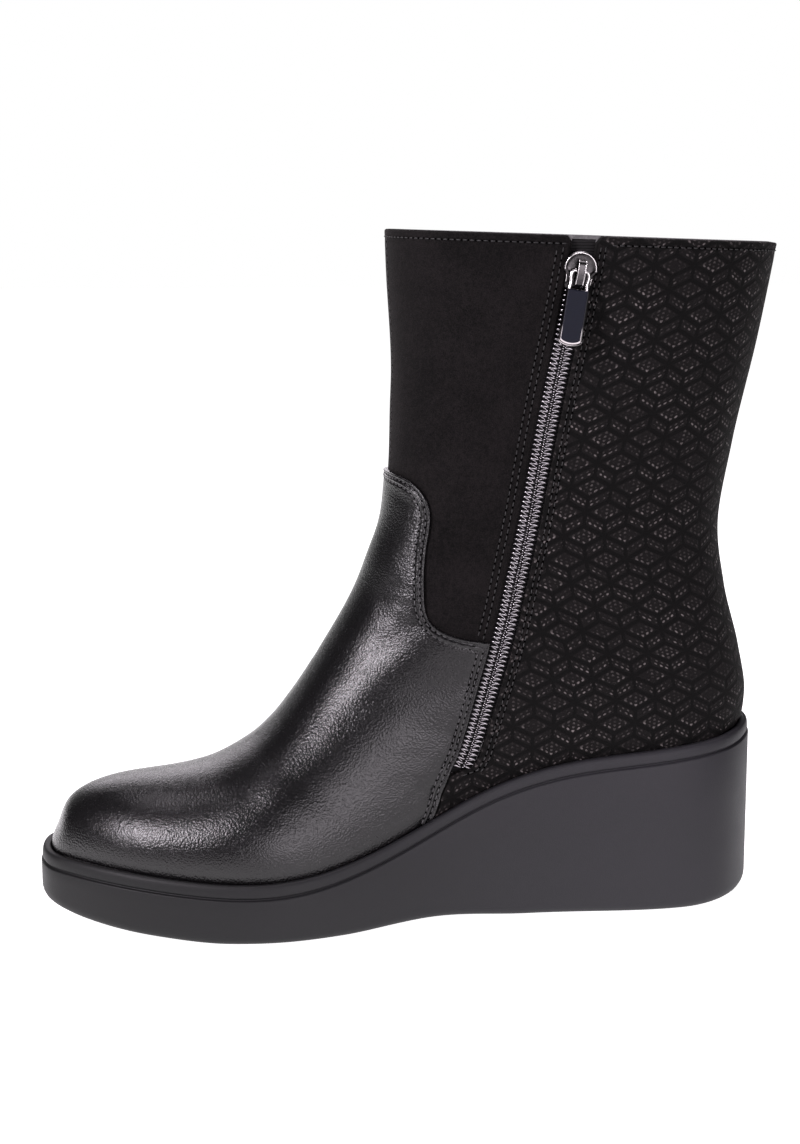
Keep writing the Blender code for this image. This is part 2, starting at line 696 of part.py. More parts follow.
def slider_plate():
    """The slider's plate seen from outside, wide at its crown and narrow at its mouth."""
    crown = SLIDER_LENGTH / 2 - CROWN_ARCH
    points = []
    for i in range(13):
        turn = math.radians(180 * i / 12)
        points.append((CROWN_WIDTH / 2 * math.cos(turn), crown + CROWN_ARCH * math.sin(turn)))
    mouth = -SLIDER_LENGTH / 2
    half = MOUTH_WIDTH / 2
    points += [(-half, mouth + MOUTH_CORNER), (-half + MOUTH_CORNER, mouth)]
    points += [(half - MOUTH_CORNER, mouth), (half, mouth + MOUTH_CORNER)]
    return points


# The slider rides over the chain's upper end, and its post reaches down to the tape
zip_frame = side_frame(closed_last(0.0), slider_height)
plate_low = OVERLAY + 2 * GAP
plate_high = plate_low + PLATE_THICKNESS
pivot_height = plate_high + GAP + PULL_WIRE / 2
bridge_top = pivot_height + PULL_WIRE / 2 + GAP + BRIDGE_THICKNESS
boot = bpy.data.objects.new("boot_origin", None)
bpy.context.collection.objects.link(boot)
slider_place = bpy.data.objects.new("slider_place", None)
bpy.context.collection.objects.link(slider_place)
slider_place.matrix_world = zip_frame
slider_place.parent = boot

metal = finish("zip_metal", (0.55, 0.56, 0.58), 0.25, 1.0)
zip_slider = extrusion(slider_plate(), plate_low, plate_high).build("zip_slider", metal)
post_low = -WALL + GAP
post_place = (SLIDER_LENGTH - POST_LENGTH) / 2
post_profile = [(u, v + post_place)
                for u, v in box_profile(SLOT_WIDTH - 4 * GAP, POST_LENGTH, PLATE_THICKNESS / 2)]
post = cutter(extrusion(post_profile, post_low, plate_low + PLATE_THICKNESS / 2), "add_post")

# The bridge is an arch along the zip, with the pull's crossbar under it
half_span = BRIDGE_SPAN / 2
inner_top = bridge_top - BRIDGE_THICKNESS
foot = plate_low + PLATE_THICKNESS / 2
bridge_profile = [
    (-half_span, foot), (-half_span + BRIDGE_THICKNESS, foot),
    (-half_span + BRIDGE_THICKNESS, inner_top - BRIDGE_THICKNESS / 2),
    (-half_span + BRIDGE_THICKNESS * 1.5, inner_top),
    (half_span - BRIDGE_THICKNESS * 1.5, inner_top),
    (half_span - BRIDGE_THICKNESS, inner_top - BRIDGE_THICKNESS / 2),
    (half_span - BRIDGE_THICKNESS, foot), (half_span, foot),
    (half_span, inner_top), (half_span - BRIDGE_THICKNESS, bridge_top),
    (-half_span + BRIDGE_THICKNESS, bridge_top), (-half_span, inner_top),
]
bridge = cutter(extrusion(bridge_profile, -BRIDGE_WIDTH / 2, BRIDGE_WIDTH / 2, "yzx"), "add_bridge")
for guide in (post, bridge):
    guide.parent = slider_place
    cut(zip_slider, guide, "UNION")
zip_slider.parent = slider_place

# The pull hangs from the bridge: its place is the axis of the hinge
pull_place = bpy.data.objects.new("pull_place", None)
bpy.context.collection.objects.link(pull_place)
pull_place.parent = slider_place
pull_place.location = (0.0, PIVOT_PLACE, pivot_height)
pull_place.rotation_euler = (-PULL_HANG, 0.0, 0.0)
wire = PULL_WIRE
outer_loop = [(u, v - PULL_LENGTH / 2 + wire / 2)
              for u, v in box_profile(PULL_WIDTH, PULL_LENGTH, wire * 1.2)]
inner_loop = [(u, v - PULL_LENGTH / 2 + wire / 2)
              for u, v in box_profile(PULL_WIDTH - 2 * wire, PULL_LENGTH - 2 * wire, wire * 0.4)]
zip_pull = extrusion(outer_loop, -wire / 2, wire / 2).build(
    "zip_pull", finish("pull_metal", (0.5, 0.5, 0.52), 0.3, 1.0))
eye = cutter(extrusion(inner_loop, -wire, wire), "cut_eye")
eye.parent = pull_place
cut(zip_pull, eye, "DIFFERENCE")
zip_pull.parent = pull_place

# The tab holds the loop's lower bar between its two cheeks
tab_top = -PULL_LENGTH + wire * 1.5 + wire + GAP
cheek = (TAB_THICKNESS - wire) / 2 - GAP
slot_floor = -PULL_LENGTH + wire / 2 - GAP
half_tab = TAB_THICKNESS / 2
tab_low = slot_floor - TAB_LENGTH + (tab_top - slot_floor)
tab_profile = [
    (tab_top, -half_tab), (tab_top, -half_tab + cheek), (slot_floor, -half_tab + cheek),
    (slot_floor, half_tab - cheek), (tab_top, half_tab - cheek), (tab_top, half_tab),
    (tab_low + half_tab / 2, half_tab), (tab_low, half_tab / 2),
    (tab_low, -half_tab / 2), (tab_low + half_tab / 2, -half_tab),
]
zip_pull_tab = extrusion(tab_profile, -TAB_WIDTH / 2, TAB_WIDTH / 2, "yzx").build(
    "zip_pull_tab", finish("tab_enamel", (0.008, 0.01, 0.016), 0.35))
zip_pull_tab.parent = pull_place

# The whole boot stands with its origin on the ground under its middle
bpy.context.view_layer.update()
shapes = [i for i in bpy.data.objects if i.type == "MESH" and not i.hide_render]
graph = bpy.context.evaluated_depsgraph_get()
corners = []
for item in shapes:
    mesh = item.evaluated_get(graph).data
    corners += [item.matrix_world @ v.co for v in mesh.vertices]
corners = np.array([tuple(c) for c in corners])
low, high = corners.min(axis=0), corners.max(axis=0)
for item in bpy.data.objects:
    if item.parent is None and item is not boot:
        item.parent = boot
boot.location = (-(low[0] + high[0]) / 2, -(low[1] + high[1]) / 2, -low[2])
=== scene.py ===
"""A right ankle boot of black leather and suede, with a zip, on a moulded wedge sole."""
import math
from collections import namedtuple

import bmesh
import bpy
import numpy as np
from mathutils import Matrix, Vector
from mathutils.bvhtree import BVHTree


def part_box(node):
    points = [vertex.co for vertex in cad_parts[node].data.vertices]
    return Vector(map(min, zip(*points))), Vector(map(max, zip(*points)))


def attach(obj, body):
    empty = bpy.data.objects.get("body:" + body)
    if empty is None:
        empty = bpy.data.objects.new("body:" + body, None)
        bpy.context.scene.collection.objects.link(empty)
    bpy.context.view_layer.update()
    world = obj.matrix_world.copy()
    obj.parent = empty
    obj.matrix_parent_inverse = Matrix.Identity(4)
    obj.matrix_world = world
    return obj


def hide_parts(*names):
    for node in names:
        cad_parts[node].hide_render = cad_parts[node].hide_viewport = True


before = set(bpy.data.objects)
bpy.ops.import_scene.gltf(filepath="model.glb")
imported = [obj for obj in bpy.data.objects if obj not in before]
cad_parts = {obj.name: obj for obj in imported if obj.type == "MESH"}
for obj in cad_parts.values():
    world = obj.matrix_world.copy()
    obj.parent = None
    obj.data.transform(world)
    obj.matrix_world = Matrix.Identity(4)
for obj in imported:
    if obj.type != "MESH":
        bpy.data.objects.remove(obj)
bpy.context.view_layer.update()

mm = 0.001

# Camera: a little above the collar and a little ahead of the boot's middle, on the
# inner side, with a long lens, as a shop takes its pictures.
scene = bpy.context.scene
camera = bpy.data.objects.new("camera", bpy.data.cameras.new("camera"))
scene.collection.objects.link(camera)
camera.location = Vector((-93.64, -690.7, 243.0)) * mm
aim = Vector((-2.24, 3.32, 118.0)) * mm
camera.rotation_euler = (aim - camera.location).to_track_quat("-Z", "Y").to_euler()
camera.data.lens = 63.13
camera.data.sensor_width = 36.0
camera.data.clip_start = 0.01
scene.camera = camera

# Studio: a pale floor under soft boxes, in a room that is bright behind the boot and
# darker where the camera stands, so that black leather keeps its depth.
Softbox = namedtuple("Softbox", "name place size power")
SOFTBOXES = (
    Softbox("key_box", (-700, -540, 600), (180, 460), 12.0),
    Softbox("fill_box", (320, -900, 240), (640, 420), 4.6),
    Softbox("top_box", (60, 120, 1050), (700, 300), 7.0),
    Softbox("back_box", (-60, 900, 420), (700, 300), 2.0),
)
for box in SOFTBOXES:
    lamp = bpy.data.lights.new(box.name, "AREA")
    lamp.shape = "RECTANGLE"
    lamp.size, lamp.size_y = box.size[0] * mm, box.size[1] * mm
    lamp.energy = box.power
    lamp.color = (1.0, 0.93, 1.0)
    place = bpy.data.objects.new(box.name, lamp)
    place.location = Vector(box.place) * mm
    look = Vector((0, 0, 90)) * mm - place.location
    place.rotation_euler = look.to_track_quat("-Z", "Y").to_euler()
    scene.collection.objects.link(place)

scene.view_settings.view_transform = "Standard"
scene.view_settings.look = "None"
world = bpy.data.worlds.new("studio")
scene.world = world
world.use_nodes = True


class Term:
    """One output in a node tree, with which sums can be written."""

    def __init__(self, tree, socket):
        self.tree = tree
        self.socket = socket

    def maths(self, operation, *values):
        return self.tree.node("ShaderNodeMath", {"operation": operation},
                              dict(enumerate(values)))[0]

    def __add__(self, other):
        return self.maths("ADD", self, other)

    __radd__ = __add__

    def __sub__(self, other):
        return self.maths("SUBTRACT", self, other)

    def __rsub__(self, other):
        return self.maths("SUBTRACT", other, self)

    def __mul__(self, other):
        return self.maths("MULTIPLY", self, other)

    __rmul__ = __mul__

    def __truediv__(self, other):
        return self.maths("DIVIDE", self, other)

    def __abs__(self):
        return self.maths("ABSOLUTE", self)

    def __lt__(self, other):
        return self.maths("LESS_THAN", self, other)

    def __gt__(self, other):
        return self.maths("GREATER_THAN", self, other)

    def least(self, other):
        return self.maths("MINIMUM", self, other)

    def most(self, other):
        return self.maths("MAXIMUM", self, other)

    def power(self, other):
        return self.maths("POWER", self, other)

    def fold(self, period):
        """The value less the nearest multiple of the period."""
        return self - self.maths("ROUND", self / period) * period

    def rise(self, low, high, start=0.0, end=1.0):
        """A soft step from start to end, as the value goes from low to high."""
        return self.tree.node("ShaderNodeMapRange", {"interpolation_type": "SMOOTHSTEP"},
                              {0: self, 1: low, 2: high, 3: start, 4: end})[0]

    def pick(self, other, share):
        """This value where share is 0, and the other where it is 1."""
        return self + (other - self) * share


class Outputs:
    """The outputs of one node, by number or name."""

    def __init__(self, tree, node):
        self.tree = tree
        self.node = node

    def __getitem__(self, key):
        return Term(self.tree, self.node.outputs[key])


class Tree:
    """The node tree of a finish or of the room."""

    def __init__(self, owner):
        self.nodes = owner.node_tree.nodes
        self.links = owner.node_tree.links

    def node(self, kind, settings, sockets):
        made = self.nodes.new(kind)
        for name, value in settings.items():
            if name == "stops":
                ramp = made.color_ramp.elements
                while len(ramp) < len(value):
                    ramp.new(0.5)
                for stop, (place, colour) in zip(ramp, value):
                    stop.position = place
                    stop.color = (*colour, 1.0)
            else:
                setattr(made, name, value)
        for key, value in sockets.items():
            if isinstance(value, Term):
                self.links.new(value.socket, made.inputs[key])
            else:
                socket = made.inputs[key]
                if socket.type == "RGBA" and len(value) == 3:
                    value = (*value, 1.0)
                socket.default_value = value
        return Outputs(self, made)

    def blend(self, share, first, second):
        """Colour that goes from the first to the second."""
        return self.node("ShaderNodeMix", {"data_type": "RGBA"},
                         {0: share, 6: first, 7: second})[2]


room = Tree(world)
direction = room.node("ShaderNodeTexCoord", {}, {})["Generated"]
side = room.node("ShaderNodeSeparateXYZ", {}, {0: direction})[1]
seen = room.node("ShaderNodeLightPath", {}, {})["Is Camera Ray"]
BEHIND, BEFORE = 0.5, 0.05
glow = side.rise(0.70, 0.93, BEFORE, BEHIND).pick(1.0, seen)
shade = room.node("ShaderNodeCombineXYZ", {}, {0: glow, 1: glow, 2: glow})[0]
room.links.new(shade.socket, room.nodes["Background"].inputs["Color"])
room.nodes["Background"].inputs["Strength"].default_value = 1.0

floor_mesh = bpy.data.meshes.new("floor")
FLOOR = 6.0
floor_mesh.from_pydata([(-FLOOR, -FLOOR, 0), (FLOOR, -FLOOR, 0), (FLOOR, FLOOR, 0),
                        (-FLOOR, FLOOR, 0)], [], [(0, 1, 2, 3)])
floor = bpy.data.objects.new("floor", floor_mesh)
scene.collection.objects.link(floor)
floor_paint = bpy.data.materials.new("floor_paint")
floor_paint.use_nodes = True
floor_shader = floor_paint.node_tree.nodes["Principled BSDF"]
floor_shader.inputs["Base Color"].default_value = (0.72, 0.72, 0.72, 1.0)
floor_shader.inputs["Roughness"].default_value = 0.9
floor_shader.inputs["Specular IOR Level"].default_value = 0.1
floor_tree = Tree(floor_paint)
spot = floor_tree.node("ShaderNodeTexCoord", {}, {})["Object"]
away = floor_tree.node("ShaderNodeSeparateXYZ", {}, {0: spot})[1].rise(-0.26, -0.02, 0.08, 1.0)
glow = floor_tree.node("ShaderNodeCombineXYZ", {}, {0: away, 1: away, 2: away})[0]
floor_tree.links.new(glow.socket, floor_shader.inputs["Emission Color"])
floor_shader.inputs["Emission Strength"].default_value = 1.0
floor.data.materials.append(floor_paint)

# Sole unit: one moulding of matt charcoal foam rubber, wide at the ball and high at the
# heel. A smooth rim runs round its top, over a fine groove, and holds the upper.
SOLE_LENGTH = 0.256
BALL_WIDTH = 0.094
HEEL_WIDTH = 0.068
FOREFOOT_RISE = 0.021
HEEL_RISE = 0.0635
TOE_SPRING = 0.0078
ARCH_RISE = 0.0017
WELT = 0.0038
WELL_DEPTH = 0.0026
GAP = 0.0003
TOE_SWING = 0.045
Edge = namedtuple("Edge", "along width inner outer")
OUTLINE = (
    Edge(0.012, BALL_WIDTH, 0.300, 0.265),
    Edge(0.040, BALL_WIDTH, 0.475, 0.420),
    Edge(0.100, BALL_WIDTH, 0.713, 0.640),
    Edge(0.200, BALL_WIDTH, 0.930, 0.855),
    Edge(0.320, BALL_WIDTH, 1.019, 0.985),
    Edge(0.450, BALL_WIDTH, 0.853, 0.985),
    Edge(0.580, HEEL_WIDTH, 0.959, 1.215),
    Edge(0.720, HEEL_WIDTH, 0.947, 1.060),
    Edge(0.860, HEEL_WIDTH, 1.000, 0.985),
    Edge(0.940, HEEL_WIDTH, 0.830, 0.810),
    Edge(0.985, HEEL_WIDTH, 0.420, 0.410),
)
Level = namedtuple("Level", "along toe_spring arch heel")
UNDERSIDE = (
    Level(0.00, 1.00, 0.0, 0.0),
    Level(0.06, 0.58, 0.0, 0.0),
    Level(0.15, 0.22, 0.0, 0.0),
    Level(0.25, 0.00, 0.0, 0.0),
    Level(0.40, 0.00, 0.0, 0.0),
    Level(0.53, 0.00, 1.0, 0.0),
    Level(0.66, 0.00, 0.0, 0.0),
    Level(0.88, 0.00, 0.0, 0.0),
    Level(0.95, 0.12, 0.0, 0.0),
    Level(1.00, 0.24, 0.0, 0.0),
)
RIM_LINE = (
    Level(0.00, 0.55, 0.0, 0.000),
    Level(0.10, 0.37, 0.0, 0.000),
    Level(0.25, 0.00, 0.0, 0.000),
    Level(0.38, 0.00, 0.0, 0.057),
    Level(0.50, 0.00, 0.0, 0.300),
    Level(0.60, 0.00, 0.0, 0.580),
    Level(0.70, 0.00, 0.0, 0.772),
    Level(0.85, 0.00, 0.0, 0.892),
    Level(1.00, 0.00, 0.0, 1.000),
)


def spline(knots, values, at, closed=False):
    """Smooth curve through the values, which a closed curve repeats at its end."""
    knots = np.asarray(knots, float)
    values = np.asarray(values, float)
    at = np.asarray(at, float)
    count = len(knots)
    gaps = np.diff(knots)
    slopes = np.diff(values, axis=0) / gaps.reshape(-1, *[1] * (values.ndim - 1))
    system = np.eye(count)
    bends = np.zeros_like(values)
    for i in range(1, count - 1):
        system[i, i - 1:i + 2] = gaps[i - 1], 2 * (gaps[i - 1] + gaps[i]), gaps[i]
        bends[i] = 6 * (slopes[i] - slopes[i - 1])
    if closed:
        system[0, 0] = 2 * (gaps[0] + gaps[-1])
        system[0, 1] = gaps[0]
        system[0, -2] = gaps[-1]
        bends[0] = 6 * (slopes[0] - slopes[-1])
        system[-1, 0] = -1
    bends = np.linalg.solve(system, bends)
    cell = np.clip(np.searchsorted(knots, at, side="right") - 1, 0, count - 2)
    shape = (-1,) + (1,) * (values.ndim - 1)
    gap = gaps[cell].reshape(shape)
    after = (at - knots[cell]).reshape(shape)
    before = gap - after
    return (bends[cell] * before ** 3 / (6 * gap)
            + bends[cell + 1] * after ** 3 / (6 * gap)
            + (values[cell] / gap - bends[cell] * gap / 6) * before
            + (values[cell + 1] / gap - bends[cell + 1] * gap / 6) * after)


def steady(knots, values, at):
    """Smooth curve through the values that never swings past them."""
    knots = np.asarray(knots, float)
    values = np.asarray(values, float)
    gaps = np.diff(knots)
    rises = np.diff(values) / gaps
    slopes = np.concatenate([rises[:1], np.zeros(len(rises) - 1), rises[-1:]])
    for i in range(1, len(rises)):
        if rises[i - 1] * rises[i] > 0:
            slopes[i] = 2 * rises[i - 1] * rises[i] / (rises[i - 1] + rises[i])
    cell = np.clip(np.searchsorted(knots, at, side="right") - 1, 0, len(gaps) - 1)
    share = (at - knots[cell]) / gaps[cell]
    return (values[cell] * (1 + 2 * share) * (1 - share) ** 2
            + values[cell + 1] * share ** 2 * (3 - 2 * share)
            + gaps[cell] * share * (1 - share) * (slopes[cell] * (1 - share)
                                                  - slopes[cell + 1] * share))


def sole_outline(count):
    """Points round the sole from above, from the toe tip along the inner side."""
    def middle(along):
        return -TOE_SWING * BALL_WIDTH * (1 - along)

    tip, heel = [(0.0, middle(0.0))], [(SOLE_LENGTH, middle(1.0))]
    inner = [(e.along * SOLE_LENGTH, middle(e.along) - e.inner * e.width / 2) for e in OUTLINE]
    outer = [(e.along * SOLE_LENGTH, middle(e.along) + e.outer * e.width / 2) for e in OUTLINE]
    points = np.array(tip + inner + heel + outer[::-1] + tip)
    knots = np.concatenate([[0.0], np.cumsum(np.linalg.norm(np.diff(points, axis=0), axis=1))])
    return spline(knots, points, np.linspace(0.0, knots[-1], count + 1), closed=True)[:-1]


def outward_of(points):
    """Outward directions of a closed outline."""
    along = np.roll(points, -1, axis=0) - np.roll(points, 1, axis=0)
    along /= np.linalg.norm(along, axis=1, keepdims=True)
    return np.stack([along[:, 1], -along[:, 0]], axis=1)


def underside(x):
    """Height of the sole's underside."""
    heights = [r.toe_spring * TOE_SPRING + r.arch * ARCH_RISE for r in UNDERSIDE]
    return steady([r.along for r in UNDERSIDE], heights, np.clip(x / SOLE_LENGTH, 0, 1))


def rim_top(x):
    """Height of the sole's rim, which the upper's feather line follows."""
    heights = [FOREFOOT_RISE + r.toe_spring * TOE_SPRING + r.heel * (HEEL_RISE - FOREFOOT_RISE)
               for r in RIM_LINE]
    return spline([r.along for r in RIM_LINE], heights, np.clip(x / SOLE_LENGTH, 0, 1))


# The last's own places start at the toe tip, and this shift takes them to the frame.
SHIFT = np.array([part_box("outsole")[0][0], 0.0, 0.0])
SHIFT[1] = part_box("outsole")[0][1] - sole_outline(1600)[:, 1].min()


def add_piece(name, points, faces, finish, smooth=True, uv=None, seam_gap=0.0):
    """A mesh object in the frame, with an optional flat map of its points."""
    mesh = bpy.data.meshes.new(name)
    mesh.from_pydata([tuple(p) for p in points], [], [list(f) for f in faces])
    if uv is not None:
        layer = mesh.uv_layers.new(name="flat")
        corners = np.empty(len(mesh.loops), dtype=np.int32)
        mesh.loops.foreach_get("vertex_index", corners)
        layer.data.foreach_set("uv", np.asarray(uv, float)[corners].ravel())
    if seam_gap:
        work = bmesh.new()
        work.from_mesh(mesh)
        bmesh.ops.remove_doubles(work, verts=work.verts, dist=seam_gap)
        work.to_mesh(mesh)
        work.free()
    mesh.validate()
    if smooth:
        mesh.shade_smooth()
    mesh.materials.append(finish)
    piece = bpy.data.objects.new(name, mesh)
    scene.collection.objects.link(piece)
    return piece


Ring = namedtuple("Ring", "inset rim fall")
SOLE_RINGS = (
    Ring(9.00, 0, 0.90), Ring(8.20, 0, 0.90), Ring(7.80, 0, 0.10), Ring(7.40, 0, 0.00),
    Ring(4.20, 0, 0.00), Ring(3.00, 0, 0.10), Ring(1.80, 0, 0.50), Ring(0.90, 0, 1.15),
    Ring(0.35, 0, 2.05), Ring(0.08, 0, 3.05), Ring(0.00, 0, 4.20), Ring(0.00, 0.33, 0.0),
    Ring(0.00, 0.66, 0.0), Ring(0.00, 1, 5.45), Ring(0.08, 1, 5.20), Ring(0.35, 1, 5.02),
    Ring(0.85, 1, 4.92), Ring(1.05, 1, 4.70), Ring(1.05, 1, 4.45), Ring(0.90, 1, 4.28),
    Ring(0.62, 1, 4.12), Ring(0.46, 1, 3.85), Ring(0.40, 1, 3.40), Ring(0.44, 1, 2.40),
    Ring(0.56, 1, 1.40), Ring(0.78, 1, 0.75), Ring(1.10, 1, 0.30), Ring(1.50, 1, 0.08),
    Ring(2.00, 1, 0.00), Ring(2.60, 1, 0.02), Ring(3.10, 1, 0.12), Ring(3.38, 1, 0.34),
    Ring(3.50, 1, 0.80), Ring(3.50, 1, 2.60),
)
SOLE_POINTS = 720
outline = sole_outline(SOLE_POINTS)
outward = outward_of(outline)


def sole_ring(ring):
    flat = outline - ring.inset * mm * outward
    x = flat[:, 0]
    low = underside(x) + 4.2 * mm
    high = rim_top(x) - 5.45 * mm
    if ring.rim == 0:
        z = underside(x) + ring.fall * mm
    elif ring.rim == 1:
        z = rim_top(x) - ring.fall * mm
    else:
        z = low + (high - low) * ring.rim
    return np.column_stack([flat, z])


rings = [sole_ring(r) for r in SOLE_RINGS]
sole_points = np.vstack(rings)
sole_faces = []
for r in range(len(rings) - 1):
    for i in range(SOLE_POINTS):
        j = (i + 1) % SOLE_POINTS
        sole_faces.append((r * SOLE_POINTS + i, r * SOLE_POINTS + j,
                           (r + 1) * SOLE_POINTS + j, (r + 1) * SOLE_POINTS + i))
for base, flip in ((0, True), ((len(rings) - 1) * SOLE_POINTS, False)):
    for i in range(SOLE_POINTS // 2):
        a, b = base + i, base + i + 1
        c, d = base + (SOLE_POINTS - i - 1) % SOLE_POINTS, base + (SOLE_POINTS - i) % SOLE_POINTS
        face = [v for n, v in enumerate((a, b, c, d)) if v not in (a, b, c, d)[:n]]
        if len(face) > 2:
            sole_faces.append(face[::-1] if flip else face)


def new_finish(name):
    """A fresh finish with its node tree, its shader and the place on the boot in metres."""
    finish = bpy.data.materials.new(name)
    finish.use_nodes = True
    tree = Tree(finish)
    shader = tree.nodes["Principled BSDF"]
    place = tree.node("ShaderNodeTexCoord", {}, {})["Object"]
    return finish, tree, shader, place


def feed(tree, shader, **values):
    """Links or sets the shader's sockets, named with underscores for spaces."""
    for name, value in values.items():
        socket = shader.inputs[name.replace("_", " ")]
        if isinstance(value, Term):
            tree.links.new(value.socket, socket)
        elif socket.type == "RGBA":
            socket.default_value = (*value, 1.0)
        else:
            socket.default_value = value


def noise(tree, place, size, detail=2.0, roughness=0.5):
    """Noise whose lumps are about the size in millimetres."""
    return tree.node("ShaderNodeTexNoise", {}, {"Vector": place, "Scale": 1000.0 / size,
                                                "Detail": detail, "Roughness": roughness})[0]


def bump(tree, height, depth, normal=None):
    """Surface relief: the height runs from 0 to 1, and the depth is in millimetres."""
    sockets = {"Strength": 1.0, "Distance": depth * mm, "Height": height}
    if normal is not None:
        sockets["Normal"] = normal
    return tree.node("ShaderNodeBump", {}, sockets)["Normal"]


rubber, tree, shader, place = new_finish("sole_foam_rubber")
mottle = noise(tree, place, 9.0, 3.0)
speck = noise(tree, place, 0.5, 3.0, 0.7)
# The base colour runs along the sole from dark at the toe to lighter at the heel: painted shade at
# the toe and painted light at the heel, over the rubber's own mottled tone.
feed(tree, shader,
     Base_Color=tree.blend(
         tree.node("ShaderNodeSeparateXYZ", {}, {0: place})[0].rise(-0.12, 0.13),
         tree.blend(mottle, (0.0020, 0.0021, 0.0024), (0.0036, 0.0037, 0.0042)),
         tree.blend(mottle, (0.0150, 0.0145, 0.0175), (0.0190, 0.0180, 0.0220))),
     Roughness=(speck * 0.18 + mottle * 0.10) + 0.42,
     Normal=bump(tree, speck, 0.05),
     Specular_IOR_Level=0.28)
outsole = add_piece("sole_unit", sole_points + SHIFT, sole_faces, rubber)
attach(outsole, "boot")
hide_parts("outsole")

# Upper: the last on which the leather is drawn down gives every panel its form. Its
# slices run from the feather line, or from the back of the leg, to the front.
TOE_HEIGHT = 0.0277
FRONT_HEIGHT = 0.2379
BACK_HEIGHT = 0.2332
ANKLE_WIDTH = 0.065
COLLAR_WIDTH = 0.085
WALL = 0.0018
OVERLAY = 0.0010
FEATHER_INSET = WELT + OVERLAY + GAP
Section = namedtuple("Section", "front toe shaft under back free flare crown round lean")
LAST = (
    Section(0.0000, 0.155, 0.0000, 0.0000, 0.000, 0.0, 0.80, 2.0, 3.0, 0.000),
    Section(0.0085, 0.379, 0.0000, 0.0085, 0.000, 0.0, 0.80, 2.0, 3.0, 0.000),
    Section(0.0228, 0.671, 0.0000, 0.0240, 0.000, 0.0, 0.80, 2.0, 3.0, 0.000),
    Section(0.0667, 0.906, 0.0000, 0.0687, 0.000, 0.0, 0.80, 2.1, 3.0, -0.010),
    Section(0.1294, 1.000, 0.0000, 0.1380, 0.000, 0.0, 0.80, 2.2, 3.0, -0.020),
    Section(0.2160, 1.000, 0.0190, 0.2315, 0.000, 0.0, 0.80, 2.1, 3.0, -0.040),
    Section(0.2966, 1.000, 0.0772, 0.3290, 0.000, 0.5, 0.95, 1.9, 3.0, -0.050),
    Section(0.3588, 1.000, 0.1680, 0.4510, 0.000, 1.0, 0.66, 2.1, 3.0, -0.045),
    Section(0.4251, 1.000, 0.3040, 0.6140, 0.000, 1.0, 0.15, 3.0, 4.0, -0.030),
    Section(0.4555, 1.000, 0.3980, 0.7600, 0.000, 1.0, 0.00, 4.2, 5.0, -0.020),
    Section(0.4725, 1.000, 0.4600, 0.8700, 0.000, 1.0, 0.00, 5.2, 6.0, -0.012),
    Section(0.4795, 1.000, 0.5080, 0.9550, 0.000, 1.0, 0.00, 6.2, 7.0, -0.004),
    Section(0.4816, 1.000, 0.5310, 0.9880, 0.000, 1.0, 0.00, 6.7, 7.6, 0.000),
    Section(0.4829, 1.000, 0.5510, 1.0000, 0.000, 1.0, 0.00, 7.0, 8.0, 0.000),
    Section(0.4845, 1.000, 0.5880, 1.0060, 0.062, 1.0, 0.00, 7.2, 8.0, 0.000),
    Section(0.4855, 1.000, 0.6360, 0.9940, 0.161, 1.0, 0.00, 7.2, 7.5, 0.000),
    Section(0.4865, 1.000, 0.6890, 0.9707, 0.290, 1.0, 0.00, 7.0, 7.0, 0.000),
    Section(0.4878, 1.000, 0.7470, 0.9590, 0.419, 1.0, 0.08, 6.5, 6.5, 0.000),
    Section(0.4858, 1.000, 0.8210, 0.9770, 0.595, 1.0, 0.32, 6.0, 6.2, 0.000),
    Section(0.4817, 1.000, 0.9054, 1.0085, 0.806, 1.0, 0.68, 5.4, 5.8, 0.000),
    Section(0.4788, 1.000, 1.0000, 1.0333, 1.000, 1.0, 1.00, 4.8, 5.2, 0.000),
)
HEEL_SECTION = 13
TOP_SECTION = len(LAST) - 1
BULGE = 1.02
table = {name: np.array([getattr(s, name) for s in LAST]) for name in Section._fields}
knots = np.arange(len(LAST))
feather_line = sole_outline(1600)
feather_line = feather_line - FEATHER_INSET * outward_of(feather_line)
feather_line = np.roll(feather_line, -int(np.argmin(feather_line[:, 0])), axis=0)
feather_heel = int(np.argmax(feather_line[:, 0]))
feather_inner = feather_line[:feather_heel + 1]
feather_outer = np.vstack([feather_line[feather_heel:], feather_line[:1]])[::-1]
toe_x, heel_x = feather_inner[0, 0], feather_inner[-1, 0]


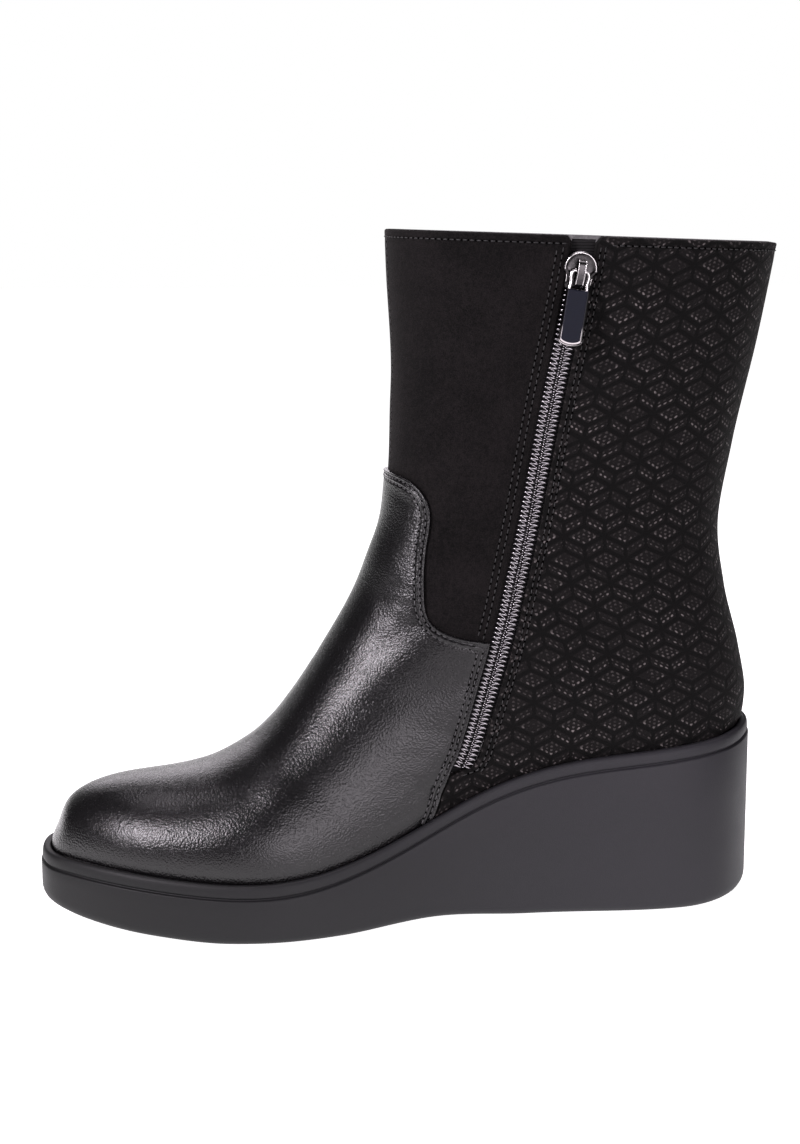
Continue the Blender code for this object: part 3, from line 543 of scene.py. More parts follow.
def last_surface(section, turn):
    """Points of the last's surface, by section and turn from -1 inside to 1 outside."""
    section = np.asarray(section, float)
    turn = (np.asarray(turn, float) + 1) % 2 - 1
    turn = np.where(np.abs(turn) > 1 - 1e-9, 1.0, turn)
    shaft_rise = FRONT_HEIGHT - FOREFOOT_RISE - TOE_HEIGHT
    front_x = toe_x + spline(knots, np.sqrt(table["front"]), section) ** 2 * (heel_x - toe_x)
    front_z = (FOREFOOT_RISE + spline(knots, table["toe"], section) * TOE_HEIGHT
               + spline(knots, table["shaft"], section) * shaft_rise)
    under_x = toe_x + steady(knots, np.sqrt(table["under"]), section) ** 2 * (heel_x - toe_x)
    heel_rim = rim_top(np.array([heel_x]))[0]
    under_z = np.where(section <= HEEL_SECTION, rim_top(np.minimum(under_x, heel_x)), heel_rim)
    under_z = under_z + steady(knots, table["back"], section) * (BACK_HEIGHT - heel_rim)
    inner = np.interp(under_x, feather_inner[:, 0], feather_inner[:, 1])
    outer = np.interp(under_x, feather_outer[:, 0], feather_outer[:, 1])
    foot = section <= HEEL_SECTION
    middle = np.where(foot, (inner + outer) / 2, feather_inner[-1, 1])
    feather = np.where(foot, (outer - inner) / 2, 0.0)
    free = spline(knots, table["free"], section)
    leg = ANKLE_WIDTH / 2 + spline(knots, table["flare"], section) * (COLLAR_WIDTH - ANKLE_WIDTH) / 2
    width = np.maximum((1 - free) * BULGE * feather + free * leg, feather)
    crown = spline(knots, table["crown"], section)
    fullness = spline(knots, table["round"], section)
    lean = spline(knots, table["lean"], section) * BALL_WIDTH
    rise = (1 + np.cos(math.pi * turn)) / 2
    growth = 1 - (1 - rise) ** fullness
    half = np.sqrt(np.maximum((feather ** 2 + (width ** 2 - feather ** 2) * growth)
                              * (1 - rise ** crown), 0.0))
    return np.stack([under_x + rise * (front_x - under_x),
                     middle + rise * lean + np.sign(turn) * half,
                     under_z + rise * (front_z - under_z)], axis=-1)


def last_normal(section, turn):
    """Outward directions on the last."""
    step_s, step_t = 0.02, 0.006
    at = np.clip(section, 0.04, TOP_SECTION - step_s)
    round_ = np.where(at < HEEL_SECTION, np.clip(turn, -0.985, 0.985), turn)
    up = last_surface(at + step_s, round_) - last_surface(at - step_s, round_)
    on = last_surface(at, round_ + step_t) - last_surface(at, round_ - step_t)
    out = np.cross(up, on)
    out /= np.maximum(np.linalg.norm(out, axis=1, keepdims=True), 1e-12)
    return out


Spot = namedtuple("Spot", "along up")
SEAM_LINE = (
    Spot(0.5120, 0.110), Spot(0.5300, 0.158), Spot(0.5687, 0.226), Spot(0.5900, 0.292),
    Spot(0.6246, 0.433), Spot(0.6564, 0.591), Spot(0.6821, 0.756), Spot(0.7055, 0.903),
    Spot(0.7255, 1.050),
)
VAMP_EDGE = (
    Spot(0.4300, 0.656), Spot(0.4860, 0.650), Spot(0.5120, 0.638), Spot(0.5290, 0.608),
    Spot(0.5250, 0.554), Spot(0.5200, 0.482), Spot(0.5260, 0.445), Spot(0.5570, 0.424),
    Spot(0.6150, 0.414),
)
ZIP_END = 0.222
SLOT_WIDTH = 0.0084
FOLD_PLACE = 0.0036
collar_front = last_surface(np.array([float(TOP_SECTION)]), np.array([0.0]))[0]
collar_back = last_surface(np.array([float(TOP_SECTION)]), np.array([1.0]))[0]


def side_line(spots, count=160):
    """Points along a line of the side view."""
    points = np.array([(s.along * SOLE_LENGTH, s.up * FRONT_HEIGHT) for s in spots])
    run = np.concatenate([[0.0], np.cumsum(np.linalg.norm(np.diff(points, axis=0), axis=1))])
    return spline(run, points, np.linspace(0.0, run[-1], count))


def beside(points, line):
    """Distance of side view points from a line, positive on the right of its run upward."""
    best = np.full(len(points), np.inf)
    sign = np.ones(len(points))
    for a, b in zip(line[:-1], line[1:]):
        edge = b - a
        share = np.clip(((points - a) @ edge) / (edge @ edge), 0, 1)
        away = points - a - share[:, None] * edge
        gap = np.hypot(away[:, 0], away[:, 1])
        near = gap < best - 1e-12
        best = np.where(near, gap, best)
        turn = edge[1] * (points[:, 0] - a[0]) - edge[0] * (points[:, 1] - a[1])
        sign = np.where(near, np.sign(turn), sign)
    return best * sign


seam = side_line(SEAM_LINE)
vamp_top = side_line(VAMP_EDGE)


def ease(value, low, high):
    """A soft step from 0 to 1."""
    share = np.clip((value - low) / (high - low), 0, 1)
    return share * share * (3 - 2 * share)


def side_fields(section, turn):
    """Distances in metres on the side view that the panels' edges are cut by."""
    points = last_surface(section, np.clip(turn, -1, 1))
    flat = points[:, [0, 2]]
    inner = turn < 0
    across = beside(flat, seam)
    z = flat[:, 1]
    zip_low = ZIP_END * FRONT_HEIGHT
    fold = np.where(inner, FOLD_PLACE * ease(z, 0.150 * FRONT_HEIGHT, 0.235 * FRONT_HEIGHT), 0)
    collar = np.interp(flat[:, 0], [collar_front[0], collar_back[0]],
                       [collar_front[2], collar_back[2]]) - z
    corner = 3.2 * mm
    a = np.maximum(across - (SLOT_WIDTH / 2 - corner), 0)
    b = np.maximum(zip_low + corner - z, 0)
    window = np.where((across < SLOT_WIDTH / 2 - corner), zip_low - z,
                      np.hypot(a, b) - corner)
    window = np.where(b <= 0, across - SLOT_WIDTH / 2, window)
    return {
        "front": -(across + fold) - GAP / 2,
        "back": np.where(inner, np.minimum(across + fold - GAP / 2, window), across - GAP / 2),
        "top": beside(flat, vamp_top),
        "collar": collar,
        "across": across,
        "x": flat[:, 0], "z": z, "inner": inner,
    }


def panel_mesh(field, levels, rows, columns, seams=(), skirt=True, low=0.0):
    """Cells of the last's surface where the field is above nought, cut along its edge.

    The field's levels get edges of their own, and those in seams are also returned as
    runs of corners. Returns section, turn and depth below the edge of every corner.
    """
    foot_rows, shaft_rows = rows
    sections = np.concatenate([
        np.linspace(0, HEEL_SECTION, HEEL_SECTION * foot_rows + 1),
        np.linspace(HEEL_SECTION, TOP_SECTION, (TOP_SECTION - HEEL_SECTION) * shaft_rows + 1)[1:]])
    turns = np.linspace(-1, 1, columns + 1)
    if skirt:
        turns = np.concatenate([[-1.5], turns, [1.5]])
    grid_s, grid_t = np.meshgrid(sections, turns, indexing="ij")
    section, turn = grid_s.ravel(), grid_t.ravel()
    wide = len(turns)
    value = field(section, turn)
    faces = []
    for i in range(len(sections) - 1):
        first = 1 if skirt and sections[i] >= HEEL_SECTION - 1e-9 else 0
        row = np.arange(first, wide - 1 - first) + i * wide
        keep = np.stack([row, row + wide, row + wide + 1, row + 1], axis=1)
        keep = keep[(value[keep] > low).any(axis=1)]
        faces += keep.tolist()
    mesh = bpy.data.meshes.new("cells")
    points = np.column_stack([value * 1000, section * 20, turn * 100])
    mesh.from_pydata(points.tolist(), [], faces)
    work = bmesh.new()
    work.from_mesh(mesh)
    bpy.data.meshes.remove(mesh)
    bmesh.ops.delete(work, geom=[v for v in work.verts if not v.link_faces], context="VERTS")
    tag = work.edges.layers.int.new("seam")
    sunk = work.verts.layers.int.new("sunk")
    marks = [("edge", low * 1000)] + [("level", v) for v in levels] + [("seam", v) for v in seams]
    for kind, level in marks:
        cut = bmesh.ops.bisect_plane(
            work, geom=work.verts[:] + work.edges[:] + work.faces[:], dist=1e-4,
            plane_co=(level, 0, 0), plane_no=(1, 0, 0), clear_inner=kind == "edge")
        if kind == "seam":
            number = 1 + list(seams).index(level)
            for item in cut["geom_cut"]:
                if isinstance(item, bmesh.types.BMEdge):
                    item[tag] = number
        if kind == "edge":
            rim = [e for e in work.edges if e.is_boundary
                   and all(abs(v.co.x - level) < 2e-3 for v in e.verts)]
            new = bmesh.ops.extrude_edge_only(work, edges=rim)["geom"]
            for item in new:
                if isinstance(item, bmesh.types.BMVert):
                    item[sunk] = 1
                    item.co.x = level - 1.0
    work.verts.ensure_lookup_table()
    co = np.array([v.co[:] for v in work.verts])
    deep = np.array([v[sunk] for v in work.verts])
    faces = [[v.index for v in f.verts] for f in work.faces]
    runs = []
    for number in range(1, len(seams) + 1):
        pairs = [(e.verts[0].index, e.verts[1].index) for e in work.edges if e[tag] == number]
        runs.append(chains(pairs))
    work.free()
    return co[:, 1] / 20, co[:, 2] / 100, co[:, 0] * mm, deep, faces, runs


def chains(pairs):
    """Runs of corners that the pairs join end to end."""
    links = {}
    for a, b in pairs:
        links.setdefault(a, []).append(b)
        links.setdefault(b, []).append(a)
    runs, used = [], set()
    starts = [v for v in links if len(links[v]) == 1] + list(links)
    for start in starts:
        if start in used:
            continue
        run = [start]
        used.add(start)
        while True:
            ways = [v for v in links[run[-1]] if v not in used]
            if not ways:
                break
            run.append(ways[0])
            used.add(ways[0])
        if len(run) > 3:
            runs.append(run)
    return runs


def place_on_last(section, turn, lift, drop=WELL_DEPTH - GAP):
    """Points lifted off the last, with the skirt of the foot going down into the sole."""
    clipped = np.clip(turn, -1, 1)
    points = last_surface(section, clipped) + last_normal(section, clipped) * lift[:, None]
    foot = section <= HEEL_SECTION
    points[:, 2] -= np.where(foot, np.clip(np.abs(turn) - 1, 0, 0.5) * 2 * drop, 0)
    return points + SHIFT


def rounded(depth, radius):
    """Height over the last of a panel whose edge is turned over with the radius."""
    inside = np.clip(depth, 0, radius)
    return -radius + np.sqrt(np.maximum(radius ** 2 - (radius - inside) ** 2, 0))


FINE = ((9, 12))
ROUND = 150


def build_panel(name, field, height, finish, radius, rows=FINE, columns=ROUND, seams=(),
                edge_levels=True, base=-WALL, flip=False, skirt=True, uv=None, low=0.0,
                extra=()):
    """A panel of the upper and the runs of points where its rows of stitches lie."""
    levels = [radius * k * 1000 for k in (0.08, 0.3, 0.65, 1.0)] if edge_levels else []
    levels += list(extra)
    section, turn, depth, deep, faces, runs = panel_mesh(
        field, levels, rows, columns, seams, skirt, low)
    lift = height(section, turn, depth)
    if radius:
        lift = lift + rounded(depth, radius)
    lift = np.where(deep == 1, base, lift)
    points = place_on_last(section, turn, lift)
    if flip:
        faces = [f[::-1] for f in faces]
    flat = uv(section, turn) if uv else None
    piece = add_piece(name, points, faces, finish, uv=flat, seam_gap=0.02 * mm)
    out = last_normal(section, np.clip(turn, -1, 1))
    lines = [[(points[run], out[run]) for run in group] for group in runs]
    return piece, lines


# Vamp: smooth black leather with a fine grain, lasted over the toe and the instep up to a
# peak in front of the leg. Its edge is folded, and two rows of stitches hold it down.
Crease = namedtuple("Crease", "x z to_x to_z width depth")
VAMP_CREASES = (
    Crease(118, 96, 150, 118, 5.0, -0.35),
    Crease(112, 84, 146, 100, 6.0, 0.30),
    Crease(108, 74, 150, 86, 5.0, -0.30),
    Crease(120, 112, 136, 132, 5.0, -0.25),
    Crease(128, 70, 148, 64, 4.5, -0.30),
    Crease(126, 60, 144, 54, 3.0, -0.35),
    Crease(122, 52, 139, 44, 3.0, -0.40),
    Crease(131, 57, 143, 52, 2.2, 0.25),
    Crease(132, 49, 141, 45, 2.0, -0.35),
    Crease(119, 112, 130, 110, 2.4, -0.35),
    Crease(120, 107, 132, 104, 2.4, -0.30),
    Crease(122, 117, 131, 115, 2.2, -0.25),
    Crease(100, 88, 113, 78, 3.0, -0.20),
    Crease(60, 52, 84, 40, 6.0, -0.25),
    Crease(74, 62, 98, 46, 7.0, -0.25),
    Crease(88, 74, 108, 56, 7.0, 0.20),
)


def relief(creases, x, z, inner):
    """Soft troughs and ridges along short lines of the side view, in metres."""
    total = np.zeros_like(x)
    flat = np.stack([x, z], axis=1) * 1000
    for c in creases:
        a, b = np.array([c.x, c.z], float), np.array([c.to_x, c.to_z], float)
        edge = b - a
        share = np.clip(((flat - a) @ edge) / (edge @ edge), 0, 1)
        away = flat - a - share[:, None] * edge
        gap = np.hypot(away[:, 0], away[:, 1]) / c.width
        total += c.depth * mm * np.exp(-2.0 * gap ** 2)
    return np.where(inner, total, 0.6 * total)


def vamp_field(section, turn):
    f = side_fields(section, turn)
    return np.minimum(f["front"], f["top"])


def row_field(section, turn):
    """Distance to the rows' edge, which keeps clear of the zip."""
    f = side_fields(section, turn)
    return np.minimum(f["front"] - 0.4 * mm, f["top"])


ROWS = (1.3, 3.0)


def vamp_height(section, turn, depth):
    f = side_fields(section, turn)
    away = row_field(section, turn) * 1000
    rows = sum(np.exp(-((away - row) / 0.42) ** 2) for row in ROWS)
    lip = 0.30 * mm * (1 - ease(depth * 1000, 0.5, 1.3))
    pillow = 0.36 * mm * np.exp(-((away - (ROWS[0] + ROWS[1]) / 2) / 0.6) ** 2)
    return (GAP + OVERLAY + lip + pillow - 0.26 * mm * rows
            + relief(VAMP_CREASES, f["x"], f["z"], f["inner"]))


leather, tree, shader, place = new_finish("vamp_grain_leather")
pebble = tree.node("ShaderNodeTexVoronoi", {"feature": "SMOOTH_F1"},
                   {"Vector": place, "Scale": 1000 / 0.66, "Smoothness": 0.4})[0]
fine = noise(tree, place, 0.5, 3.0, 0.6)
cloud = noise(tree, place, 14.0, 3.0, 0.55)
streak = noise(tree, place, 3.0, 4.0, 0.6)
grain = pebble * 0.8 + fine * 0.6
feed(tree, shader,
     Base_Color=tree.blend(cloud, (0.0026, 0.0024, 0.0027), (0.0042, 0.0039, 0.0043)),
     Roughness=(grain * 0.12 + cloud * 0.08 + streak * 0.04) + 0.10,
     Normal=bump(tree, grain, 0.125),
     Specular_IOR_Level=0.44)
vamp, _ = build_panel("vamp_leather", vamp_field, vamp_height, leather,
                      radius=0.55 * mm, extra=(0.9, 1.3, 1.7, 2.15, 2.6, 3.0, 3.4, 3.8))
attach(vamp, "boot")
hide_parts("vamp")


# Front of the shaft: plain black suede with a short nap, folded over at the collar and
# along the zip, on a fleece lining that shows inside the leg.
def shaft_field(section, turn):
    f = side_fields(section, turn)
    under = 8 * mm
    edge = np.where(f["inner"], f["front"], f["front"] + under)
    return np.minimum(np.minimum(edge, f["collar"]), under - f["top"])


SHAFT_ROWS = (2.6, 4.6)


def shaft_height(section, turn, depth):
    f = side_fields(section, turn)
    side = np.where(f["inner"], f["front"], 1.0) * 1000
    rows = sum(np.exp(-((side - row) / 0.5) ** 2) for row in SHAFT_ROWS)
    collar = np.exp(-((f["collar"] * 1000 - 2.6) / 0.5) ** 2)
    return -0.14 * mm * (rows + collar)


suede, tree, shader, place = new_finish("plain_suede")
nap = noise(tree, place, 0.35, 3.0, 0.7)
tuft = noise(tree, place, 1.6, 4.0, 0.65)
brushed = noise(tree, place, 22.0, 3.0, 0.5)
feed(tree, shader,
     Base_Color=tree.blend((nap * 0.6 + tuft * 0.2 + brushed * 0.2).rise(0.40, 0.62),
                           (0.0001, 0.0001, 0.0001), (0.0085, 0.0070, 0.0072)),
     Roughness=0.95,
     Normal=bump(tree, nap * 0.7 + tuft * 0.5, 0.16),
     Specular_IOR_Level=0.12, Sheen_Weight=0.05, Sheen_Roughness=0.5,
     Sheen_Tint=(0.5, 0.46, 0.45))
shaft, _ = build_panel("shaft_suede_front", shaft_field, shaft_height, suede,
                       radius=0.8 * mm)
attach(shaft, "boot")
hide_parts("upper")

fleece, tree, shader, place = new_finish("fleece_lining")
curl = noise(tree, place, 1.4, 4.0, 0.65)
feed(tree, shader,
     Base_Color=tree.blend(curl, (0.10, 0.10, 0.105), (0.24, 0.235, 0.235)),
     Roughness=0.95, Normal=bump(tree, curl, 0.6), Specular_IOR_Level=0.15)


def lining_field(section, turn):
    f = side_fields(section, turn)
    slot = np.where(f["inner"], np.maximum(np.maximum(f["front"], f["back"]), -1), 1.0)
    return np.minimum(slot, f["collar"] + 1 * mm)


lining, _ = build_panel("fleece_lining", lining_field,
                        lambda section, turn, depth: np.full(len(section), -WALL), fleece,
                        radius=0.0, rows=(4, 6), columns=90, edge_levels=False,
                        flip=True, low=0.0)
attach(lining, "boot")


# Back panel: black suede embossed with a pattern of tumbling blocks, from the zip round
# the heel to the seam on the outer side, folded over at the collar.
def back_field(section, turn):
    f = side_fields(section, turn)
    return np.minimum(f["back"], f["collar"])


BACK_ROWS = (1.5, 3.1)


def back_height(section, turn, depth):
    f = side_fields(section, turn)
    rows = sum(np.exp(-((f["back"] * 1000 - row) / 0.5) ** 2) for row in BACK_ROWS)
    collar = np.exp(-((f["collar"] * 1000 - 2.6) / 0.5) ** 2)
    low_edge = 0.5 * mm * (1 - ease(f["across"] + SLOT_WIDTH / 2, 0.0, 3.0 * mm))
    low_edge = np.where(f["z"] < ZIP_END * FRONT_HEIGHT, low_edge, 0)
    return GAP + OVERLAY - 0.14 * mm * (rows + collar) - low_edge


map_z = np.linspace(0.030, FRONT_HEIGHT + 0.001, 220)
map_t = np.linspace(-1, 0, 121)


def girth_map(side):
    """Level distance round the leg from the heel, by height and turn, on one side."""
    dense = np.linspace(2.0, TOP_SECTION, 700)
    xs, ys = [], []
    for turn in map_t:
        points = last_surface(dense, np.full(len(dense), turn if side < 0 else -turn))
        z = np.maximum.accumulate(points[:, 2]) + np.arange(len(dense)) * 1e-9
        xs.append(np.interp(map_z, z, points[:, 0]))
        ys.append(np.interp(map_z, z, points[:, 1]))
    xs, ys = np.array(xs).T, np.array(ys).T
    steps = np.hypot(np.diff(xs, axis=1), np.diff(ys, axis=1))
    along = np.concatenate([np.zeros((len(map_z), 1)), np.cumsum(steps, axis=1)], axis=1)
    return along, xs


girth = {-1: girth_map(-1), 1: girth_map(1)}
LOW_ROW = int(np.searchsorted(map_z, 0.076))


def flat_map(section, turn):
    """Level distance from the back of the heel, and height, in millimetres."""
    turn = np.clip(turn, -1, 1)
    side = np.where(turn < 0, -1, 1)
    points = last_surface(section, turn)
    z = points[:, 2]
    s = np.interp(z, map_z, np.arange(len(map_z))).clip(LOW_ROW)
    s = np.clip(s, 0, len(map_z) - 1.001)
    t = np.clip((1 - np.abs(turn)) * (len(map_t) - 1), 0, len(map_t) - 1.001)
    i, j = s.astype(int), t.astype(int)
    a, b = s - i, t - j
    out = np.zeros(len(section))
    for key, (grid, xs) in girth.items():
        value = (grid[i, j] * (1 - a) * (1 - b) + grid[i + 1, j] * a * (1 - b)
                 + grid[i, j + 1] * (1 - a) * b + grid[i + 1, j + 1] * a * b)
        low = np.interp(points[:, 0], xs[LOW_ROW][::-1], grid[LOW_ROW][::-1])
        value = low + (value - low) * ease(z, map_z[LOW_ROW], map_z[LOW_ROW] + 6 * mm)
        out = np.where(side == key, value * key, out)
    return np.stack([out, z], axis=1) * 1000


BLOCK_WIDTH = 14.2
BLOCK_TOP = 7.2
BLOCK_SIDE = 4.7
BAND = 0.75
embossed, tree, shader, place = new_finish("embossed_suede")
flat = tree.node("ShaderNodeUVMap", {"uv_map": "flat"}, {})[0]
parts = tree.node("ShaderNodeSeparateXYZ", {}, {0: flat})
warp = noise(tree, place, 30.0, 1.0)
u = parts[0] + (warp - 0.5) * 2.0
v = parts[1] + (warp - 0.5) * 1.5
row_step = BLOCK_TOP / 2 + BLOCK_SIDE
slope = BLOCK_TOP / BLOCK_WIDTH
ux, uy = u.fold(BLOCK_WIDTH), v.fold(2 * row_step)
wx, wy = (u - BLOCK_WIDTH / 2).fold(BLOCK_WIDTH), (v - row_step).fold(2 * row_step)
inside = (abs(uy) + abs(ux) * slope) < (BLOCK_TOP + BLOCK_SIDE) / 2
x, y = wx.pick(ux, inside), wy.pick(uy, inside)
ax = abs(x)
on_top = y > ax * slope + (BLOCK_SIDE - BLOCK_TOP) / 2
to_top_edge = (1 - (ax / (BLOCK_WIDTH / 2) + abs(y - BLOCK_SIDE / 2) / (BLOCK_TOP / 2))) * 3.21
down = (BLOCK_SIDE / 2 - abs(y - ax * slope + BLOCK_TOP / 2)) * 0.892
sideways = ax.least(BLOCK_WIDTH / 2 - ax)
to_side_edge = down.least(sideways)
inward = to_side_edge.pick(to_top_edge, on_top)
raised = inward.rise(BAND - 0.35, BAND + 0.25)


def dot(across, along, width, height):
    """A soft oval speck."""
    return ((across / width).power(2.0) + (along / height).power(2.0)).rise(0.35, 1.0, 1.0, 0.0)


on_lower_edge = (BLOCK_SIDE / 2 - y).rise(-0.4, 0.6, 0.30, 1.0)
top_dots = (dot(x.fold(1.8), inward - 1.3, 0.62, 0.42) * on_lower_edge).most(
    dot(x.fold(1.8), inward - 2.5, 0.55, 0.38) * 0.35)
level = y - ax * slope + BLOCK_TOP / 2
side_dots = dot((ax - 1.5).fold(1.8), level + 0.55, 0.60, 0.42).most(
    dot((ax - 0.9).fold(1.8), level - 0.75, 0.50, 0.36) * 0.4)
dots = side_dots.pick(top_dots, on_top) * raised
nap = noise(tree, place, 0.4, 3.0, 0.7)
wear = noise(tree, place, 2.2, 2.0, 0.6).rise(0.36, 0.62)
patch = noise(tree, place, 16.0, 2.0, 0.5).rise(0.32, 0.66, 0.25, 1.0)
shine = dots * wear * patch
feed(tree, shader,
     Base_Color=tree.blend(shine, tree.blend((nap * 0.7 + raised * 0.3).rise(0.3, 0.8),
                                             (0.0005, 0.0004, 0.0004), (0.0055, 0.0046, 0.0047)),
                           (0.125, 0.110, 0.108)),
     Roughness=0.9 - shine * 0.45,
     Normal=bump(tree, raised * 0.5 + dots * 0.7 + nap * 0.35, 0.30),
     Specular_IOR_Level=0.14, Sheen_Weight=0.04, Sheen_Roughness=0.5,
     Sheen_Tint=(0.5, 0.46, 0.45))
back, _ = build_panel("back_embossed_suede", back_field, back_height, embossed,
                      radius=0.6 * mm, uv=flat_map)
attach(back, "boot")
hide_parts("back_panel")

# Footbed: a thin board in the well of the sole, under the same fleece.
board_line = sole_outline(SOLE_POINTS)
board_out = outward_of(board_line)
board_rings = []
for inset, rise in ((5.1, 0.3), (6.9, 0.3), (7.0, 2.6), (7.6, 3.2), (8.6, 3.3)):
    flat = board_line - inset * mm * board_out
    board_rings.append(np.column_stack([flat, rim_top(flat[:, 0]) - WELL_DEPTH + rise * mm]))
board_rings = board_rings[1:]
board_points = np.vstack(board_rings)
board_faces = []
for r in range(len(board_rings) - 1):
    for i in range(SOLE_POINTS):
        j = (i + 1) % SOLE_POINTS
        board_faces.append((r * SOLE_POINTS + i, r * SOLE_POINTS + j,
                            (r + 1) * SOLE_POINTS + j, (r + 1) * SOLE_POINTS + i))
for base, flip in ((0, True), ((len(board_rings) - 1) * SOLE_POINTS, False)):
    for i in range(1, SOLE_POINTS // 2 - 1):
        a, b = base + i, base + i + 1
        c, d = base + SOLE_POINTS - i - 1, base + SOLE_POINTS - i
        board_faces.append((d, c, b, a) if flip else (a, b, c, d))
footbed = add_piece("footbed", board_points + SHIFT, board_faces, fleece)
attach(footbed, "boot")
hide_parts("insole")


# Zip: two tapes of woven cloth behind the slot.
def tape_field(section, turn):
    f = side_fields(section, turn)
    inner = np.where(f["inner"], SLOT_WIDTH / 2 + 6 * mm - np.abs(f["across"]), -1.0)
    return np.minimum(np.minimum(inner, f["z"] - (ZIP_END * FRONT_HEIGHT - 0.8 * mm)),
                      f["collar"] - 1.2 * mm)


cloth, tree, shader, place = new_finish("zip_tape_cloth")
weave = tree.node("ShaderNodeTexWave", {"wave_type": "BANDS", "bands_direction": "Z"},
                  {"Vector": place, "Scale": 320.0, "Distortion": 1.5})["Fac"]
height = tree.node("ShaderNodeSeparateXYZ", {}, {0: place})[2]
folded = height.rise(FRONT_HEIGHT - 8 * mm, FRONT_HEIGHT - 6 * mm)
feed(tree, shader,
     Base_Color=tree.blend(folded, tree.blend(weave, (0.004, 0.004, 0.0045), (0.012, 0.012, 0.013)),
                           tree.blend(weave, (0.004, 0.0038, 0.004), (0.014, 0.013, 0.0135))),
     Roughness=0.9, Normal=bump(tree, weave, 0.12), Specular_IOR_Level=0.2)
tape, _ = build_panel("zip_tape_cloth", tape_field,
                      lambda section, turn, depth: np.full(len(section), -WALL - GAP), cloth,
                      radius=0.0, edge_levels=False, skirt=False, base=-WALL - 3 * GAP)
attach(tape, "boot")
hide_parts("zip_tape")

# Coil: each half is one springy plastic wire, wound flat, and the two halves mesh along
# the middle. It runs from the end of the window up to the slider.
probe_s = np.linspace(4, TOP_SECTION, 500)
probe_t = np.linspace(-0.97, -0.05, 300)
grid_s, grid_t = np.meshgrid(probe_s, probe_t, indexing="ij")
probe = last_surface(grid_s.ravel(), grid_t.ravel())
probe_faces = [(i * 300 + j, (i + 1) * 300 + j, (i + 1) * 300 + j + 1, i * 300 + j + 1)
               for i in range(0, 499) for j in range(0, 299)]
inner_tree = BVHTree.FromPolygons([tuple(p) for p in probe], probe_faces)


def zip_frame(z):
    """Point on the last where the zip passes a height, and its three directions."""
    def touch(height):
        x = float(np.interp(height, seam[:, 1], seam[:, 0]))
        return inner_tree.ray_cast(Vector((x, -0.5, height)), Vector((0, 1, 0)))

    z = min(z, 0.2325)
    point, outward_, _, _ = touch(z)
    if outward_.y > 0:
        outward_ = -outward_
    up = (touch(z + 2 * mm)[0] - touch(z - 2 * mm)[0]).normalized()
    cross = up.cross(outward_).normalized()
    outward_ = cross.cross(up).normalized()
    return np.array(point), np.array(cross), np.array(up), np.array(outward_)


SLIDER_DROP = 0.0115
collar_at_zip = float(np.interp(np.interp(0.235, seam[:, 1], seam[:, 0]),
                                [collar_front[0], collar_back[0]],
                                [collar_front[2], collar_back[2]]))
slider_z = collar_at_zip - SLIDER_DROP
PITCH = 1.65
WIRE = 0.31
TURN_STEPS = 18
WIRE_SIDES = 7
coil_low = ZIP_END * FRONT_HEIGHT + 1.0 * mm
line_z = np.linspace(coil_low, slider_z, 80)
frames = [zip_frame(z) for z in line_z]
centre = np.array([f[0] for f in frames])
run = np.concatenate([[0], np.cumsum(np.linalg.norm(np.diff(centre, axis=0), axis=1))])
across_ = np.array([f[1] for f in frames])
up_ = np.array([f[2] for f in frames])
out_ = np.array([f[3] for f in frames])


def on_zip(across, along, outward_):
    """Frame points beside the zip's line, from places in millimetres."""
    along = np.asarray(along, float) * mm
    across = np.asarray(across, float) * mm
    outward_ = np.asarray(outward_, float) * mm
    at = [np.stack([np.interp(along, run, part[:, k]) for k in range(3)], axis=-1)
          for part in (centre, across_, out_)]
    beyond = (along - np.clip(along, 0, run[-1]))[..., None]
    up = np.stack([np.interp(along, run, up_[:, k]) for k in range(3)], axis=-1)
    return at[0] + across[..., None] * at[1] + outward_[..., None] * at[2] + beyond * up + SHIFT


def tube(path, radii, sides, closed=False):
    """Points and faces of a round bar along a path, with a radius at each point."""
    path = np.asarray(path, float)
    along = np.gradient(path, axis=0)
    along /= np.linalg.norm(along, axis=1, keepdims=True)
    guide = np.array([0.3, 0.9, 0.2])
    first = np.cross(along, guide)
    first /= np.linalg.norm(first, axis=1, keepdims=True)
    second = np.cross(along, first)
    angle = np.linspace(0, 2 * math.pi, sides, endpoint=False)
    ring_points = (path[:, None] + radii[:, None, None]
                   * (np.cos(angle)[None, :, None] * first[:, None]
                      + np.sin(angle)[None, :, None] * second[:, None]))
    count = len(path)
    faces = [(i * sides + j, i * sides + (j + 1) % sides,
              (i + 1) * sides + (j + 1) % sides, (i + 1) * sides + j)
             for i in range(count - 1) for j in range(sides)]
    faces.append(tuple(range(sides))[::-1])
    faces.append(tuple((count - 1) * sides + j for j in range(sides)))
    return ring_points.reshape(-1, 3), faces


coil_points, coil_faces = [], []
length = run[-1] * 1000
start = 0
for hand in (-1, 1):
    turns = int((length - PITCH) / PITCH)
    steps = turns * TURN_STEPS
    phase = np.linspace(0, 2 * math.pi * turns, steps)
    lap, share = np.divmod(phase / math.pi, 2)
    along = (lap + ease(share, 1.0, 2.0) + 0.2 + (0.5 if hand > 0 else 0.0)) * PITCH
    power = 0.7
    c, s = np.cos(phase), np.sin(phase)
    flat_c = np.sign(c) * np.abs(c) ** power
    flat_s = np.sign(s) * np.abs(s) ** power
    across = hand * (1.94 + 1.36 * flat_c)
    lift = -0.55 + 0.72 * flat_s
    along = along - 0.28 * np.maximum(c, 0) ** 2
    head = np.exp(-((flat_c + 1) / 0.28) ** 2)
    path = on_zip(across, along, lift)
    points, faces = tube(path, (WIRE + 0.04 * head) * mm, WIRE_SIDES)
    coil_points.append(points)
    coil_faces += [tuple(v + start for v in f) for f in faces]
    start += len(points)
plastic, tree, shader, place = new_finish("coil_plastic")
